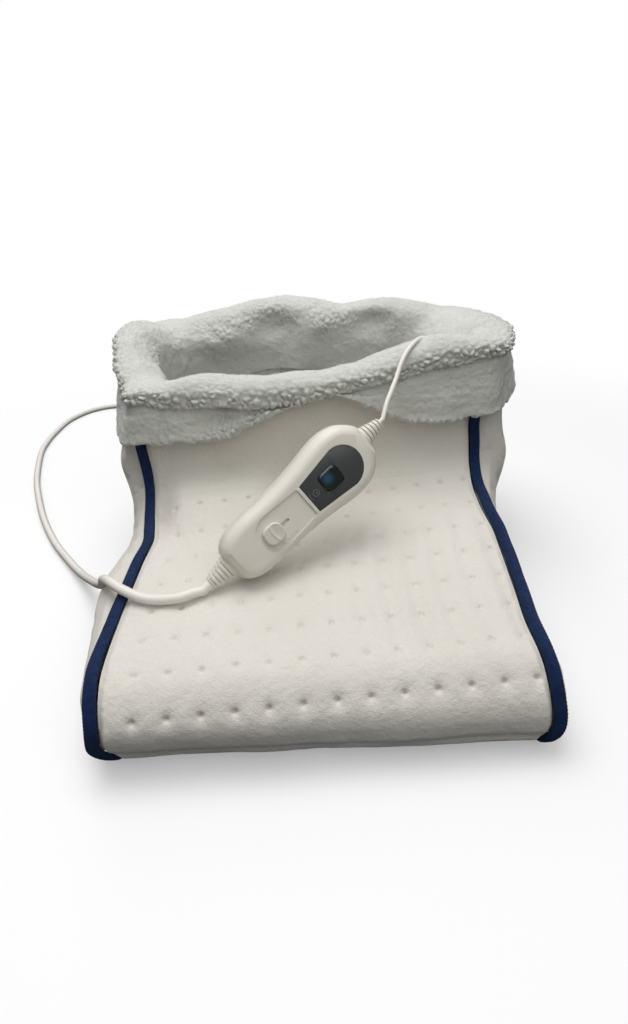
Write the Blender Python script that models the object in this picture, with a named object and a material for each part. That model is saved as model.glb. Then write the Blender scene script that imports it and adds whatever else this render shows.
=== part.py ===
"""Electric foot warmer: a quilted boot with a fleece cuff, its slide controller and its mains lead.

The boot stands on the floor with its toe towards -Y and its opening towards +Z.
X is the width, and the origin lies under the middle of the boot. Lengths are in metres.
"""
import math

import bmesh
import bpy
import numpy as np
from mathutils import Matrix, Vector

# Driving dimensions of the boot, as the outer faces of its side profile
LENGTH = 0.325              # toe binding to the back of the cuff
TOE_TOP_Z = 0.055           # height of the toe end of the instep line
BEND_Z = 0.076              # height where the instep line meets the shaft
SHAFT_Y = 0.042             # front face of the shaft
RIM_FRONT_Z = 0.158         # top edge of the shell at the front
RIM_BACK_Z = 0.186          # top edge of the shell at the back
TOE_RADIUS = 0.030
TOE_SOLE_RADIUS = 0.023
HEEL_RADIUS = 0.026
BEND_RADIUS = 0.040
SEAM_X = 0.1285             # middle of the binding, each side
SLUMP = 0.007               # the soft boot leans: right side up, left side down at the front
SWAY = 0.012                # and its rim stands over to the right

# Cloth thicknesses and clearances
SHELL = 0.004               # quilted outer fabric
FLEECE = 0.006              # pile lining inside the boot
GAP = 0.0003                # between any two pieces that touch on the real boot
BINDING_WIDTH = 0.0072
BINDING_THICKNESS = 0.0045
GUSSET_BULGE = {"left": 0.025, "right": 0.029}  # how far the side panels belly out
RIM_BULGE = 0.014           # the same at the open rim
LINING_BULGE = 0.010

# Quilting: a grid of small welded dots
DOT_PITCH_X = 0.0187
DOT_PITCH_S = 0.0258
DOT_SHIFT = 0.0065          # the grid lies off the middle of the panel
DOT_START = 0.0128          # from the seam in the bend down to the first row
DOT_DEPTH = 0.0024
PUFF = 0.0010               # crest between four dots
CHANNEL = 0.0008            # valley along a line of dots

# Seams between the panels, as places along the side profile
TOE_SEAM_Y = -0.112         # under the toe
HEEL_SEAM_Y = 0.108         # under the heel
BEND_SEAM_DROP = 0.082      # from the front rim down to the seam in the bend

# Heated footbed
CARRIER = 0.0015            # felt that the heating wire is sewn to
WIRE_LAYER = 0.0038         # height kept for the wire, cut-outs and junction
WADDING = 0.004
BED_MARGIN = 0.014
WIRE_DIAMETER = 0.0020
WIRE_PASSES = 9
WIRE_MARGIN_X = 0.0240          # from the edges of the felt to the wire
WIRE_MARGIN_Y = 0.0320
CUTOUT_SIZE = (0.0060, 0.0150, 0.0032)
CUTOUT_INSET = 0.0615           # from the back edge of the felt
CUTOUT_STEPS = {"left": 2.5, "right": 5.5}      # places among the passes of the wire
JUNCTION_SIZE = (0.0180, 0.0120, 0.0034)
JUNCTION_INSET = 0.0190         # from the back edge of the felt
JUNCTION_SIDE = 0.0160          # from its side edge

# Fleece cuff over the rim
CUFF_FLEECE = 0.0075
CUFF_CROWN = 0.012          # height of the roll above the shell's rim
CUFF_INNER_DROP = 0.028
CUFF_SIDE_DROP = 0.046
CUFF_CORNER_DROP = 0.034        # at the front corners
CUFF_FRONT_DROP = 0.011         # in the middle of the front
CUFF_TUFT = 0.006               # the roll stands higher at the right front corner
CUFF_EASE = 0.0032          # air round the bound corners
CUFF_FLARE = {"left": 0.0124, "right": 0.0172}  # the hem stands out over the side panels
CUFF_CROWN_EDGE_SHARE = 0.85    # height of the roll's shoulders to its crown
CUFF_TUFT_SHARES = (0.8, 0.7)   # where the roll's rise at the corner ends, in width and depth
CUFF_CORNER = 0.006
CUFF_INNER_CORNER = 0.018
SLOT_ROOM = 0.002           # air over the shell's edge inside the fold
LINING_DROP = 0.004         # the lining ends this far under the cuff
LEAD_SLOT = 0.006           # taller at the sides, where the lead goes behind the lining

# Controller, in its own frame: U along it towards the thin lead, V across, W out of its face
CONTROLLER_LENGTH = 0.121
CONTROLLER_WIDTH = 0.0467
TOP_HEIGHT = 0.0124
BASE_HEIGHT = 0.0084
SHELL_WALL = 0.0018
EDGE_ROUND = 0.0070
BASE_ROUND = 0.0050
STRAIGHT_SIDE_SHARE = 0.30      # share of a shell's height before the edge rounds over
HOLLOW_SHOULDER_SHARE = 0.75    # the same for the hollow's shoulder
BODY_OUTLINE_SHARES = [(-1.0, 0.24), (-0.985, 0.40), (-0.93, 0.60), (-0.82, 0.74), (-0.62, 0.80),
                       (-0.35, 0.79), (-0.10, 0.81), (0.15, 0.87), (0.42, 0.97), (0.62, 1.0),
                       (0.80, 0.90), (0.92, 0.66), (0.985, 0.40), (1.0, 0.24)]
CONTROLLER_MAINS_END = (-0.0533, -0.0695, 0.0785)
CONTROLLER_LEAD_END = (0.0376, -0.0150, 0.1360)
CONTROLLER_TIP = 26.0           # degrees that its face turns up about its long axis

# Face of the controller
FIELD_START_U = -0.0385         # round end of the switch field
WINDOW_START_U = 0.0046         # straight edge between field and window
WINDOW_END_U = 0.0490
WINDOW_HALF = 0.0140
FIELD_HALF = 0.0125
EDGE_HALF = 0.0108              # half length of the straight edge
WINDOW_THICKNESS = 0.0011
FIELD_DEPTH = 0.0007
DISPLAY_U = 0.0236
DISPLAY_SIZE = (0.0168, 0.0136)
DISPLAY_CORNER = 0.0038
DISPLAY_RECESS = 0.0005
KNOB_REST_U = -0.0275
KNOB_TRAVEL = 0.0110            # from step 0 to step 3
KNOB_LENGTH = 0.0138
KNOB_WIDTH = 0.0106
KNOB_HEIGHT = 0.0028
KNOB_RIDGE = 0.0010
KNOB_EDGE = 0.0016              # rounding of its top edge
KNOB_EDGE_SHARES = [(0.0, 0.0), (0.6, 0.0), (0.85, 0.4), (1.0, 1.0)]    # height and rounding
STEM_SIZE = (0.0050, 0.0036)
CONTACT_SIZE = (0.0090, 0.0090, 0.0040)

# Inside the controller
BOARD_SIZE = (0.0700, 0.0260, 0.0016)
BOARD_W = -0.0010               # underside of the board
FUSE_SIZE = (0.0200, 0.0052)    # length and diameter
FUSE_PLACE = (-0.0020, -0.0100)
CAPACITOR_SIZE = (0.0120, 0.0060, 0.0078)
CAPACITOR_PLACE = (0.0070, 0.0085)
TRIAC_SIZE = (0.0100, 0.0080, 0.0044)
TRIAC_PLACE = (-0.0060, 0.0085)
SCREW_PLACES = [(-0.0430, -0.0080), (-0.0430, 0.0080), (0.0410, -0.0140), (0.0410, 0.0140)]
SCREW_RADIUS = 0.0014
SCREW_HEAD_RADIUS = 0.0026
SCREW_HEAD = 0.0018
SCREW_LENGTH = 0.0140
BOSS_WALL = 0.0012

# Strain reliefs at both ends of the controller
RELIEF_LENGTH = 0.0160          # the part outside the housing
RELIEF_NECK = 0.0036            # through the end wall
RELIEF_FLANGE = 0.0020
RELIEF_GROOVES = 5
GROOVE_DEPTH = 0.0007
MAINS_RELIEF_HALF = (0.0072, 0.0058)    # half width and half thickness at the housing
LEAD_RELIEF_HALF = (0.0056, 0.0050)
NECK_RADIUS = 0.0040
FLANGE_SHARE = 1.3              # flange inside the housing to neck

# Leads
MAINS_DIAMETER = 0.0065
LEAD_DIAMETER = 0.0032
TAIL_DIAMETER = 0.0020
MAINS_ROUTE = [(-0.0770, -0.0830, 0.0685), (-0.0870, -0.0860, 0.0675), (-0.1060, -0.0830, 0.0665),
               (-0.1220, -0.0760, 0.0700), (-0.1320, -0.0660, 0.0695), (-0.1420, -0.0500, 0.0600),
               (-0.1500, -0.0330, 0.0440),
               (-0.1670, -0.0040, 0.0250), (-0.1920, 0.0330, 0.0090), (-0.2140, 0.0640, 0.00420),
               (-0.2360, 0.0960, 0.00325), (-0.2600, 0.1390, 0.00325), (-0.2800, 0.1830, 0.00325),
               (-0.3000, 0.2340, 0.00325), (-0.3190, 0.3020, 0.00325), (-0.3240, 0.3390, 0.00325),
               (-0.3240, 0.3730, 0.00325), (-0.3190, 0.4150, 0.00325), (-0.3050, 0.4440, 0.00325),
               (-0.2890, 0.4590, 0.00325), (-0.2660, 0.4660, 0.00325), (-0.2200, 0.4600, 0.00325),
               (-0.1600, 0.4250, 0.00325), (-0.1100, 0.3750, 0.00325), (-0.0780, 0.3250, 0.00325),
               (-0.0645, 0.2850, 0.0042)]
PLUG_ROUTE = [(-0.0635, 0.2180, 0.0095), (-0.0560, 0.2010, 0.0055), (-0.0400, 0.1890, 0.0034),
              (-0.0140, 0.1860, 0.00325), (0.0080, 0.1900, 0.0048)]
LEAD_ROUTE = [(0.0560, 0.0010, 0.1535), (0.0600, 0.0080, 0.1590), (0.0650, 0.0165, 0.1660),
              (0.0700, 0.0250, 0.1745), (0.0770, 0.0340, 0.1815), (0.0860, 0.0430, 0.1850),
              (0.0970, 0.0530, 0.1800), (0.1060, 0.0630, 0.1620), (0.1100, 0.0655, 0.1500),
              (0.1140, 0.0640, 0.1420), (0.1180, 0.0605, 0.1378), (0.1250, 0.0580, 0.1368)]
LEAD_JOINT = (0.1310, 0.0570, 0.1366)
TAIL_ROUTE = [(0.1246, 0.0567, 0.1355), (0.1270, 0.0565, 0.1290), (0.1290, 0.0565, 0.1120),
              (0.1310, 0.0565, 0.0900), (0.1315, 0.0565, 0.0700), (0.1310, 0.0565, 0.0500),
              (0.1285, 0.0570, 0.0300), (0.1272, 0.0580, 0.0190), (0.1250, 0.0600, 0.0125),
              (0.1215, 0.0660, 0.0095), (0.1180, 0.0760, 0.0088), (0.1150, 0.0900, 0.0083),
              (0.1110, 0.1010, 0.0080), (0.1055, 0.1040, 0.0080)]
COIL_CENTRE = (-0.0200, 0.2450)
COIL_RADIUS = 0.0362            # middle of the turns
COIL_TURNS = 4                  # half of them in each of the two layers
COIL_SPACING = 0.0072           # from one turn to the next, and between the layers
COIL_LIFT = 0.0016              # the tie under it keeps it off the floor
TIE_WIDTH = 0.0080
TIE_THICKNESS = 0.0010
TIE_TURN = 20.0                 # degrees round the coil

# Plug at the end of the mains lead
LOOSE_PIECES = ("coil", "plug")    # first words of the solid pieces that lie on the floor
PLUG_PLACE = (0.0315, 0.1965, 0.0070)
PLUG_TURN = 14.0                # degrees from +X
PLUG_SECTIONS = [(0.0000, 0.0044, 0.0044), (0.0200, 0.0056, 0.0050), (0.0210, 0.0080, 0.0058),
                 (0.0300, 0.0130, 0.0064), (0.0420, 0.0172, 0.0068), (0.0540, 0.0174, 0.0068),
                 (0.0560, 0.0150, 0.0052)]
PIN_SPACING = 0.0186
PIN_LENGTH = 0.0190
PIN_DIAMETER = 0.0040
PIN_TIP_SHARE = 0.6
PLUG_CORNER_SHARE = 0.9         # corner radius to half thickness
CORD_STEP_SHARES = {"mains": 2.3, "lead": 2.0, "tail": 3.0}     # point spacing in diameters

# Places that follow from the dimensions above
TOE_Y = -LENGTH / 2 + BINDING_THICKNESS / 2
HEEL_Y = LENGTH / 2 - (BINDING_THICKNESS / 2 + GAP + CUFF_EASE + CUFF_FLEECE)
HALF_PANEL = SEAM_X - BINDING_WIDTH / 2 - 2 * GAP
LINING_EASE = 3 * GAP
BED = SHELL + CARRIER + WIRE_LAYER + WADDING + 4 * GAP
LEAN_START = BED + FLEECE
UP = Vector((0, 0, 1))
SIDES = {"left": -1, "right": 1}

# Fineness of the mesh
PROFILE_STEP = 0.0015
TURN_STEP = 0.30                # radians between stations in a bend


# Materials
def material(name, colour, roughness, metallic=0.0):
    shade = bpy.data.materials.new(name)
    shade.use_nodes = True
    surface = shade.node_tree.nodes["Principled BSDF"]
    surface.inputs["Base Color"].default_value = (*colour, 1.0)
    surface.inputs["Roughness"].default_value = roughness
    surface.inputs["Metallic"].default_value = metallic
    return shade


# Mesh helpers
def add_object(name, points, faces, look, smooth=40.0):
    """A closed solid from points and faces, with its faces turned outwards."""
    mesh = bpy.data.meshes.new(name)
    mesh.from_pydata([tuple(p) for p in points], [], faces)
    work = bmesh.new()
    work.from_mesh(mesh)
    bmesh.ops.recalc_face_normals(work, faces=work.faces)
    work.to_mesh(mesh)
    work.free()
    mesh.materials.append(look)
    mesh.shade_smooth()
    mesh.set_sharp_from_angle(angle=math.radians(smooth))
    made = bpy.data.objects.new(name, mesh)
    bpy.context.scene.collection.objects.link(made)
    return made


def loft(rings):
    """Points and faces of a solid through closed rings of equal counts, with flat ends."""
    count = len(rings[0])
    points = [p for ring in rings for p in ring]
    faces = []
    for r in range(len(rings) - 1):
        for i in range(count):
            j = (i + 1) % count
            faces.append((r * count + i, r * count + j, (r + 1) * count + j, (r + 1) * count + i))
    faces.append(tuple(range(count)))
    faces.append(tuple((len(rings) - 1) * count + i for i in reversed(range(count))))
    return points, faces


def prism(outline, bottom, top):
    """Points and faces of an upright prism on a plane outline."""
    return loft([[(x, y, bottom) for x, y in outline], [(x, y, top) for x, y in outline]])


def combine(target, tool, operation):
    """Cuts the tool from the target, or joins it on, and drops the tool."""
    cut = target.modifiers.new("cut", "BOOLEAN")
    cut.operation = operation
    cut.object = tool
    bpy.context.view_layer.update()
    result = bpy.data.meshes.new_from_object(
        target.evaluated_get(bpy.context.evaluated_depsgraph_get()))
    result.name = target.name
    target.modifiers.clear()
    target.data = result
    bpy.data.objects.remove(tool)


def smooth_route(points, per_span):
    """A Catmull-Rom curve through hand-chosen points."""
    knots = np.array(points, float)
    padded = np.vstack([2 * knots[0] - knots[1], knots, 2 * knots[-1] - knots[-2]])
    out = []
    for k in range(1, len(padded) - 2):
        p0, p1, p2, p3 = padded[k - 1:k + 3]
        for step in range(per_span):
            t = step / per_span
            out.append(0.5 * (2 * p1 + (p2 - p0) * t + (2 * p0 - 5 * p1 + 4 * p2 - p3) * t ** 2
                              + (3 * p1 - p0 - 3 * p2 + p3) * t ** 3))
    out.append(padded[-2])
    return np.array(out)


def evenly(points, step):
    """The same line with points about one step apart."""
    points = np.array(points, float)
    along = np.concatenate([[0], np.cumsum(np.linalg.norm(np.diff(points, axis=0), axis=1))])
    count = max(2, round(along[-1] / step) + 1)
    places = np.linspace(0, along[-1], count)
    return np.stack([np.interp(places, along, points[:, k]) for k in range(points.shape[1])], axis=1)


def tube(name, points, diameter, look, sides_level=2):
    """A round cord along its points, with flat closed ends."""
    line = bpy.data.curves.new(name, "CURVE")
    line.dimensions = "3D"
    line.bevel_depth = diameter / 2
    line.bevel_resolution = sides_level
    line.use_fill_caps = True
    strand = line.splines.new("POLY")
    strand.points.add(len(points) - 1)
    for spot, place in zip(strand.points, points):
        spot.co = (*place, 1.0)
    line.materials.append(look)
    made = bpy.data.objects.new(name, line)
    bpy.context.scene.collection.objects.link(made)
    return made


# Side profile of the boot: an open line in Y and Z from the front rim, round the sole, to the back rim
class Profile:
    """A line with rounded corners, read by the length along it."""

    def __init__(self, corners, radii, fineness=PROFILE_STEP):
        corners = [np.array(c, float) for c in corners]
        points = [corners[0]]
        marks = [0]
        for before, corner, after, radius in zip(corners, corners[1:], corners[2:], radii):
            way_in = (before - corner) / np.linalg.norm(before - corner)
            way_out = (after - corner) / np.linalg.norm(after - corner)
            half = math.acos(np.dot(way_in, way_out)) / 2
            middle = (way_in + way_out) / np.linalg.norm(way_in + way_out)
            centre = corner + middle * radius / math.sin(half)
            start = corner + way_in * radius / math.tan(half) - centre
            end = corner + way_out * radius / math.tan(half) - centre
            turn = math.pi - 2 * half
            steps = 2 * max(2, math.ceil(radius * turn / fineness / 2))
            for k in range(steps + 1):
                share = k / steps
                spot = math.sin((1 - share) * turn) * start + math.sin(share * turn) * end
                points.append(centre + spot / math.sin(turn))
                if k == steps // 2:
                    marks.append(len(points) - 1)
        points.append(corners[-1])
        self.points = np.array(points)
        steps = np.linalg.norm(np.diff(self.points, axis=0), axis=1)
        self.along = np.concatenate([[0], np.cumsum(steps)])
        self.length = self.along[-1]
        self.marks = [self.along[m] for m in marks] + [self.length]

    def at(self, s):
        return np.array([np.interp(s, self.along, self.points[:, k]) for k in (0, 1)])

    def outward(self, s):
        """Unit normal that points out of the boot."""
        reach = self.length / len(self.points)
        y, z = self.at(min(s + reach, self.length)) - self.at(max(s - reach, 0))
        return np.array([z, -y]) / math.hypot(y, z)

    def stations(self, start, end, step, sharpest=TURN_STEP):
        """Places about one step apart, with more where the line turns."""
        coarse = np.linspace(start, end, max(2, round((end - start) / step) + 1))
        out = [coarse[0]]
        for a, b in zip(coarse, coarse[1:]):
            bend = math.acos(max(-1, min(1, float(np.dot(self.outward(a), self.outward(b))))))
            parts = max(1, math.ceil(bend / sharpest))
            out += [a + (b - a) * (k + 1) / parts for k in range(parts)]
        return out

    def where_y(self, y, start, end):
        """The place between two others where the line crosses a given Y."""
        places = np.linspace(start, end, 400)
        return places[int(np.argmin([abs(self.at(s)[0] - y) for s in places]))]


BOOT_CORNERS = [(SHAFT_Y, RIM_FRONT_Z), (SHAFT_Y, BEND_Z), (TOE_Y, TOE_TOP_Z), (TOE_Y, 0),
                (HEEL_Y, 0), (HEEL_Y, RIM_BACK_Z)]


def rim_z(y):
    """Height of the slanted rim line."""
    share = (y - SHAFT_Y) / (HEEL_Y - SHAFT_Y)
    return RIM_FRONT_Z + (RIM_BACK_Z - RIM_FRONT_Z) * share


def inset_profile(side, sole):
    """The boot's profile drawn in by one distance all round and by another at the sole."""
    corners = [np.array(c, float) for c in BOOT_CORNERS]
    distances = [side, side, side, sole, side]
    lines = []
    for start, end, distance in zip(corners, corners[1:], distances):
        way = (end - start) / np.linalg.norm(end - start)
        inward = np.array([-way[1], way[0]])
        lines.append((start + inward * distance, way))
    moved = []
    for (p, d), (q, e) in zip(lines, lines[1:]):
        share = ((q - p)[0] * e[1] - (q - p)[1] * e[0]) / (d[0] * e[1] - d[1] * e[0])
        moved.append(p + d * share)
    first = np.array([lines[0][0][0], rim_z(lines[0][0][0])])
    last = np.array([lines[-1][0][0], rim_z(lines[-1][0][0])])
    small = max(side, sole)
    radii = [BEND_RADIUS + side, TOE_RADIUS - side, max(TOE_SOLE_RADIUS - small, side),
             max(HEEL_RADIUS - small, side)]
    return Profile([first, *moved, last], radii)


def eased(value, start, end):
    """A smooth step from nothing at the start to one at the end."""
    share = min(1, max(0, (value - start) / (end - start)))
    return share * share * (3 - 2 * share)


def settled(point):
    """The lean of the soft boot: nothing at the floor, the toe and the back, most at the shaft."""
    x, y, z = point
    lean = eased(y, TOE_Y, SHAFT_Y) * (1 - eased(y, SHAFT_Y, HEEL_Y))
    lean *= eased(z, LEAN_START, LEAN_START + TOE_TOP_Z)
    return (x + SWAY * eased(z, LEAN_START, RIM_BACK_Z), y, z + SLUMP * lean * x / SEAM_X)


def quilt_height(across, along):
    """Height of the quilted face over its base, from the distances to the dot grid's origin."""
    column = 0.5 + 0.5 * math.cos(2 * math.pi * across / DOT_PITCH_X)
    row = 0.5 + 0.5 * math.cos(2 * math.pi * along / DOT_PITCH_S)
    return PUFF - CHANNEL * column - (PUFF + DOT_DEPTH - CHANNEL) * (column * row) ** 2


# Panels of the shell that follow the side profile
def band_panel(name, profile, start, end, thickness, look, quilted=False, first_row=0.0):
    """A strip of cloth across the boot, its outer face on the profile."""
    half = HALF_PANEL
    if quilted:
        columns = np.arange(-half, half, DOT_PITCH_X / 2)
        columns = [c for c in DOT_SHIFT + DOT_PITCH_X / 2 * np.arange(-len(columns), len(columns))
                   if abs(c) < half - DOT_PITCH_X / 4]
        columns = [-half, *columns, half]
        step = DOT_PITCH_S / 2
    else:
        columns = [-half, half]
        step = DOT_PITCH_S
    places = profile.stations(start, end, step)
    points = []
    for s in places:
        y, z = profile.at(s)
        out_y, out_z = profile.outward(s)
        for c in columns:
            edge = quilted and abs(c) < half
            rise = quilt_height(c - DOT_SHIFT, s - start - first_row) if edge else 0.0
            if out_z < -0.5:
                rise = min(rise, 0.0)
            points.append((c, y + out_y * rise, z + out_z * rise))
        for c in (half, -half):
            points.append((c, y - out_y * thickness, z - out_z * thickness))
    row = len(columns) + 2
    faces = [tuple(range(row)), tuple(len(points) - 1 - k for k in range(row))]
    for r in range(len(places) - 1):
        for k in range(row):
            m = (k + 1) % row
            faces.append((r * row + k, r * row + m, (r + 1) * row + m, (r + 1) * row + k))
    return add_object(name, [settled(p) for p in points], faces, look)


def boot_panels(profile, look, plain):
    """The five cloth panels between the two bindings."""
    bend_seam = BEND_SEAM_DROP
    toe_seam = profile.where_y(TOE_SEAM_Y, profile.marks[3], profile.marks[4])
    heel_seam = profile.where_y(HEEL_SEAM_Y, profile.marks[3], profile.marks[4])
    band_panel("shaft_panel", profile, 0, bend_seam - GAP, SHELL, plain)
    band_panel("front_panel", profile, bend_seam, toe_seam - GAP, SHELL, look, True, DOT_START)
    band_panel("sole_panel", profile, toe_seam, heel_seam - GAP, SHELL, plain)
    band_panel("back_panel", profile, heel_seam, profile.length, SHELL, look, True)


def binding(name, side, look):
    """The flat bias tape folded over the seam between a gusset and the band."""
    profile = inset_profile(0, BINDING_THICKNESS / 2)
    rings = []
    for s in profile.stations(0, profile.length, DOT_PITCH_S):
        y, z = profile.at(s)
        out_y, out_z = profile.outward(s)
        ring = []
        for k in range(8):
            turn = 2 * math.pi * (k + 0.5) / 8
            across = math.cos(turn) / math.cos(math.pi / 8) * BINDING_WIDTH / 2
            rise = math.sin(turn) / math.cos(math.pi / 8) * BINDING_THICKNESS / 2
            ring.append(settled((side * SEAM_X + across, y + out_y * rise, z + out_z * rise)))
        rings.append(ring)
    return add_object(name, *loft(rings), look)


# Side panels: an L-shaped net of cells stretched over the side profile
class SideNet:
    """Cells along the sole and up the shaft, relaxed inside a profile, with a bulge."""

    def __init__(self, profile, rim_drop, pitch_y, pitch_z, rim_bulge, bulge):
        marks = profile.marks
        toe_length = marks[2] - marks[1]
        rim = [profile.at(profile.length) - (0, rim_drop), profile.at(0) - (0, rim_drop)]
        shaft_length = rim[0][0] - rim[1][0]
        self.start = max(2, round(toe_length / pitch_y))
        self.wide = self.start + max(2, round(shaft_length / pitch_y))
        self.low = max(2, round((marks[3] - marks[2]) / pitch_z))
        self.high = self.low + max(2, round((marks[1] - rim_drop) / pitch_z))
        shape = (self.wide + 1, self.high + 1)
        self.place = np.zeros((*shape, 2))
        self.bulge = np.zeros(shape)
        self.used = np.zeros(shape, bool)
        self.used[:, :self.low + 1] = True
        self.used[self.start:, :] = True
        self.inner = np.zeros(shape, bool)
        self.inner[1:-1, 1:self.low] = True
        self.inner[self.start + 1:-1, 1:-1] = True
        edges = [([(self.start, j) for j in range(self.high, self.low - 1, -1)], rim_drop, marks[1]),
                 ([(i, self.low) for i in range(self.start, -1, -1)], marks[1], marks[2]),
                 ([(0, j) for j in range(self.low, -1, -1)], marks[2], marks[3]),
                 ([(i, 0) for i in range(self.wide + 1)], marks[3], marks[4]),
                 ([(self.wide, j) for j in range(self.high + 1)], marks[4], profile.length - rim_drop)]
        for cells, first, last in edges:
            for k, cell in enumerate(cells):
                self.place[cell] = profile.at(first + (last - first) * k / (len(cells) - 1))
        top = range(self.start, self.wide + 1)
        ends = self.place[self.start, self.high].copy(), self.place[self.wide, self.high].copy()
        for i in top:
            share = (i - self.start) / (self.wide - self.start)
            self.place[i, self.high] = ends[0] * (1 - share) + ends[1] * share
            self.bulge[i, self.high] = rim_bulge * 4 * share * (1 - share)
        seed = self.place[self.used & ~self.inner].mean(axis=0)
        self.place[self.inner] = seed
        self.relax(self.place, 0.0)
        self.relax(self.bulge, 0.0)
        swell = np.zeros(shape)
        self.relax(swell, 1.0)
        self.bulge += np.sqrt(swell / swell.max()) * (bulge - rim_bulge / 2)

    def relax(self, field, source):
        """Settles a field inside the net to the mean of its neighbours, plus a source."""
        for _ in range(600):
            mean = (np.roll(field, 1, 0) + np.roll(field, -1, 0)
                    + np.roll(field, 1, 1) + np.roll(field, -1, 1)) / 4 + source
            field[self.inner] = mean[self.inner]


def side_panel(name, net, side, face_x, thickness, look, quilted):
    """A bulging cloth panel whose outer face starts at face_x at its edge."""
    points = []
    number = {}
    for layer in (0, 1):
        for cell in zip(*np.nonzero(net.used)):
            y, z = net.place[cell]
            rise = net.bulge[cell] - layer * thickness
            if quilted and layer == 0 and net.inner[cell]:
                rise += PUFF if (cell[0] + cell[1]) % 2 else 0.0
                rise -= DOT_DEPTH if cell[0] % 2 == 0 and cell[1] % 2 == 0 else 0.0
            number[(layer, *cell)] = len(points)
            points.append(settled((side * (face_x + rise), y, z)))
    faces = []
    borders = {}
    for i in range(net.wide):
        for j in range(net.high):
            if not (i >= net.start or j < net.low):
                continue
            ring = [(i, j), (i + 1, j), (i + 1, j + 1), (i, j + 1)]
            faces.append(tuple(number[(0, *c)] for c in ring))
            faces.append(tuple(number[(1, *c)] for c in reversed(ring)))
            for a, b in zip(ring, ring[1:] + ring[:1]):
                if (b, a) in borders:
                    del borders[(b, a)]
                else:
                    borders[(a, b)] = True
    for a, b in borders:
        faces.append((number[(0, *b)], number[(0, *a)], number[(1, *a)], number[(1, *b)]))
    return add_object(name, points, faces, look)


# Fleece cuff
def cuff_loop(half_x, front, back, bulge, corner, flared=False):
    """A closed loop in plan, round the rim, with the same stations whatever its size."""
    quarter = []
    for k in range(3):
        turn = math.pi / 2 * k / 2
        quarter.append((math.sin(turn), math.cos(turn)))
    run = half_x - corner
    right = [(run * k / 4, front) for k in range(5)]
    right += [(run + corner * a, front + corner * (1 - b)) for a, b in quarter[1:]]
    depth = back - front - 2 * corner
    for k in range(1, 8):
        share = k / 8
        right.append((half_x + bulge * 4 * share * (1 - share), front + corner + depth * share))
    right += [(run + corner * b, back - corner * (1 - a)) for a, b in quarter[0:]]
    right += [(run * (4 - k) / 4, back) for k in range(1, 5)]
    left = [(-x, y) for x, y in right[-2:0:-1]]
    loop = right + left
    if flared:
        loop = [(x + flare(x, y, front, back), y) for x, y in loop]
    return loop


def flare(x, y, front, back):
    """How far the hem stands out at a point of the loop, to its own side."""
    share = (y - front) / (back - front)
    side = "right" if x > 0 else "left"
    return SIDES[side] * CUFF_FLARE[side] * 4 * share * (1 - share)


def fleece_cuff(look):
    """The pile turned out over the rim: an upside-down channel all round the opening."""
    outer_x = SEAM_X + BINDING_WIDTH / 2 + GAP + CUFF_EASE
    outer_front = SHAFT_Y - BINDING_THICKNESS / 2 - GAP - CUFF_EASE
    outer_back = HEEL_Y + BINDING_THICKNESS / 2 + GAP + CUFF_EASE
    inner_x = HALF_PANEL - GAP
    inner_front = SHAFT_Y + SHELL + GAP
    inner_back = HEEL_Y - SHELL - GAP
    bulge = RIM_BULGE
    slot_out = cuff_loop(outer_x, outer_front, outer_back, bulge, CUFF_CORNER)
    slot_low = cuff_loop(outer_x, outer_front, outer_back, bulge, CUFF_CORNER, True)
    face = cuff_loop(outer_x + CUFF_FLEECE, outer_front - CUFF_FLEECE, outer_back + CUFF_FLEECE,
                     bulge, CUFF_CORNER + CUFF_FLEECE)
    face_low = cuff_loop(outer_x + CUFF_FLEECE, outer_front - CUFF_FLEECE, outer_back + CUFF_FLEECE,
                         bulge, CUFF_CORNER + CUFF_FLEECE, True)
    slot_in = cuff_loop(inner_x, inner_front, inner_back, bulge, CUFF_CORNER)
    throat = cuff_loop(inner_x - CUFF_FLEECE, inner_front + CUFF_FLEECE, inner_back - CUFF_FLEECE,
                       bulge, CUFF_INNER_CORNER)
    rings = []
    for k in range(len(face)):
        (fx, fy), (tx, ty) = face[k], throat[k]
        side = eased(abs(fx), 0, outer_x)
        back = eased(fy, SHAFT_Y, HEEL_Y)
        drop = CUFF_FRONT_DROP + (CUFF_CORNER_DROP - CUFF_FRONT_DROP) * side
        drop = drop * (1 - back) + CUFF_SIDE_DROP * back
        tuft = eased(fx, 0, inner_x * CUFF_TUFT_SHARES[0])
        tuft *= 1 - eased(fy, SHAFT_Y, HEEL_Y * CUFF_TUFT_SHARES[1])
        crown = CUFF_CROWN + CUFF_TUFT * tuft
        ring = []

        def put(spot, height):
            ring.append(settled((spot[0], spot[1], rim_z(spot[1]) + height)))

        def between(share):
            return (tx + (fx - tx) * share, ty + (fy - ty) * share)

        put(throat[k], -CUFF_INNER_DROP)
        put(throat[k], crown / 3)
        put(between(1 / 5), crown * CUFF_CROWN_EDGE_SHARE)
        put(between(1 / 2), crown)
        put(between(4 / 5), crown * CUFF_CROWN_EDGE_SHARE)
        put(face[k], crown / 3)
        put(((fx + face_low[k][0]) / 2, (fy + face_low[k][1]) / 2), -drop / 2)
        put(face_low[k], -drop)
        put(slot_low[k], -drop)
        put(slot_out[k], SLOT_ROOM)
        put(slot_in[k], SLOT_ROOM)
        put(slot_in[k], -CUFF_INNER_DROP)
        rings.append(ring)
    count = len(rings[0])
    points = [p for ring in rings for p in ring]
    faces = []
    for r in range(len(rings)):
        for k in range(count):
            m = (k + 1) % count
            n = (r + 1) % len(rings)
            faces.append((r * count + k, r * count + m, n * count + m, n * count + k))
    return add_object("fleece_cuff", points, faces, look)


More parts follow.
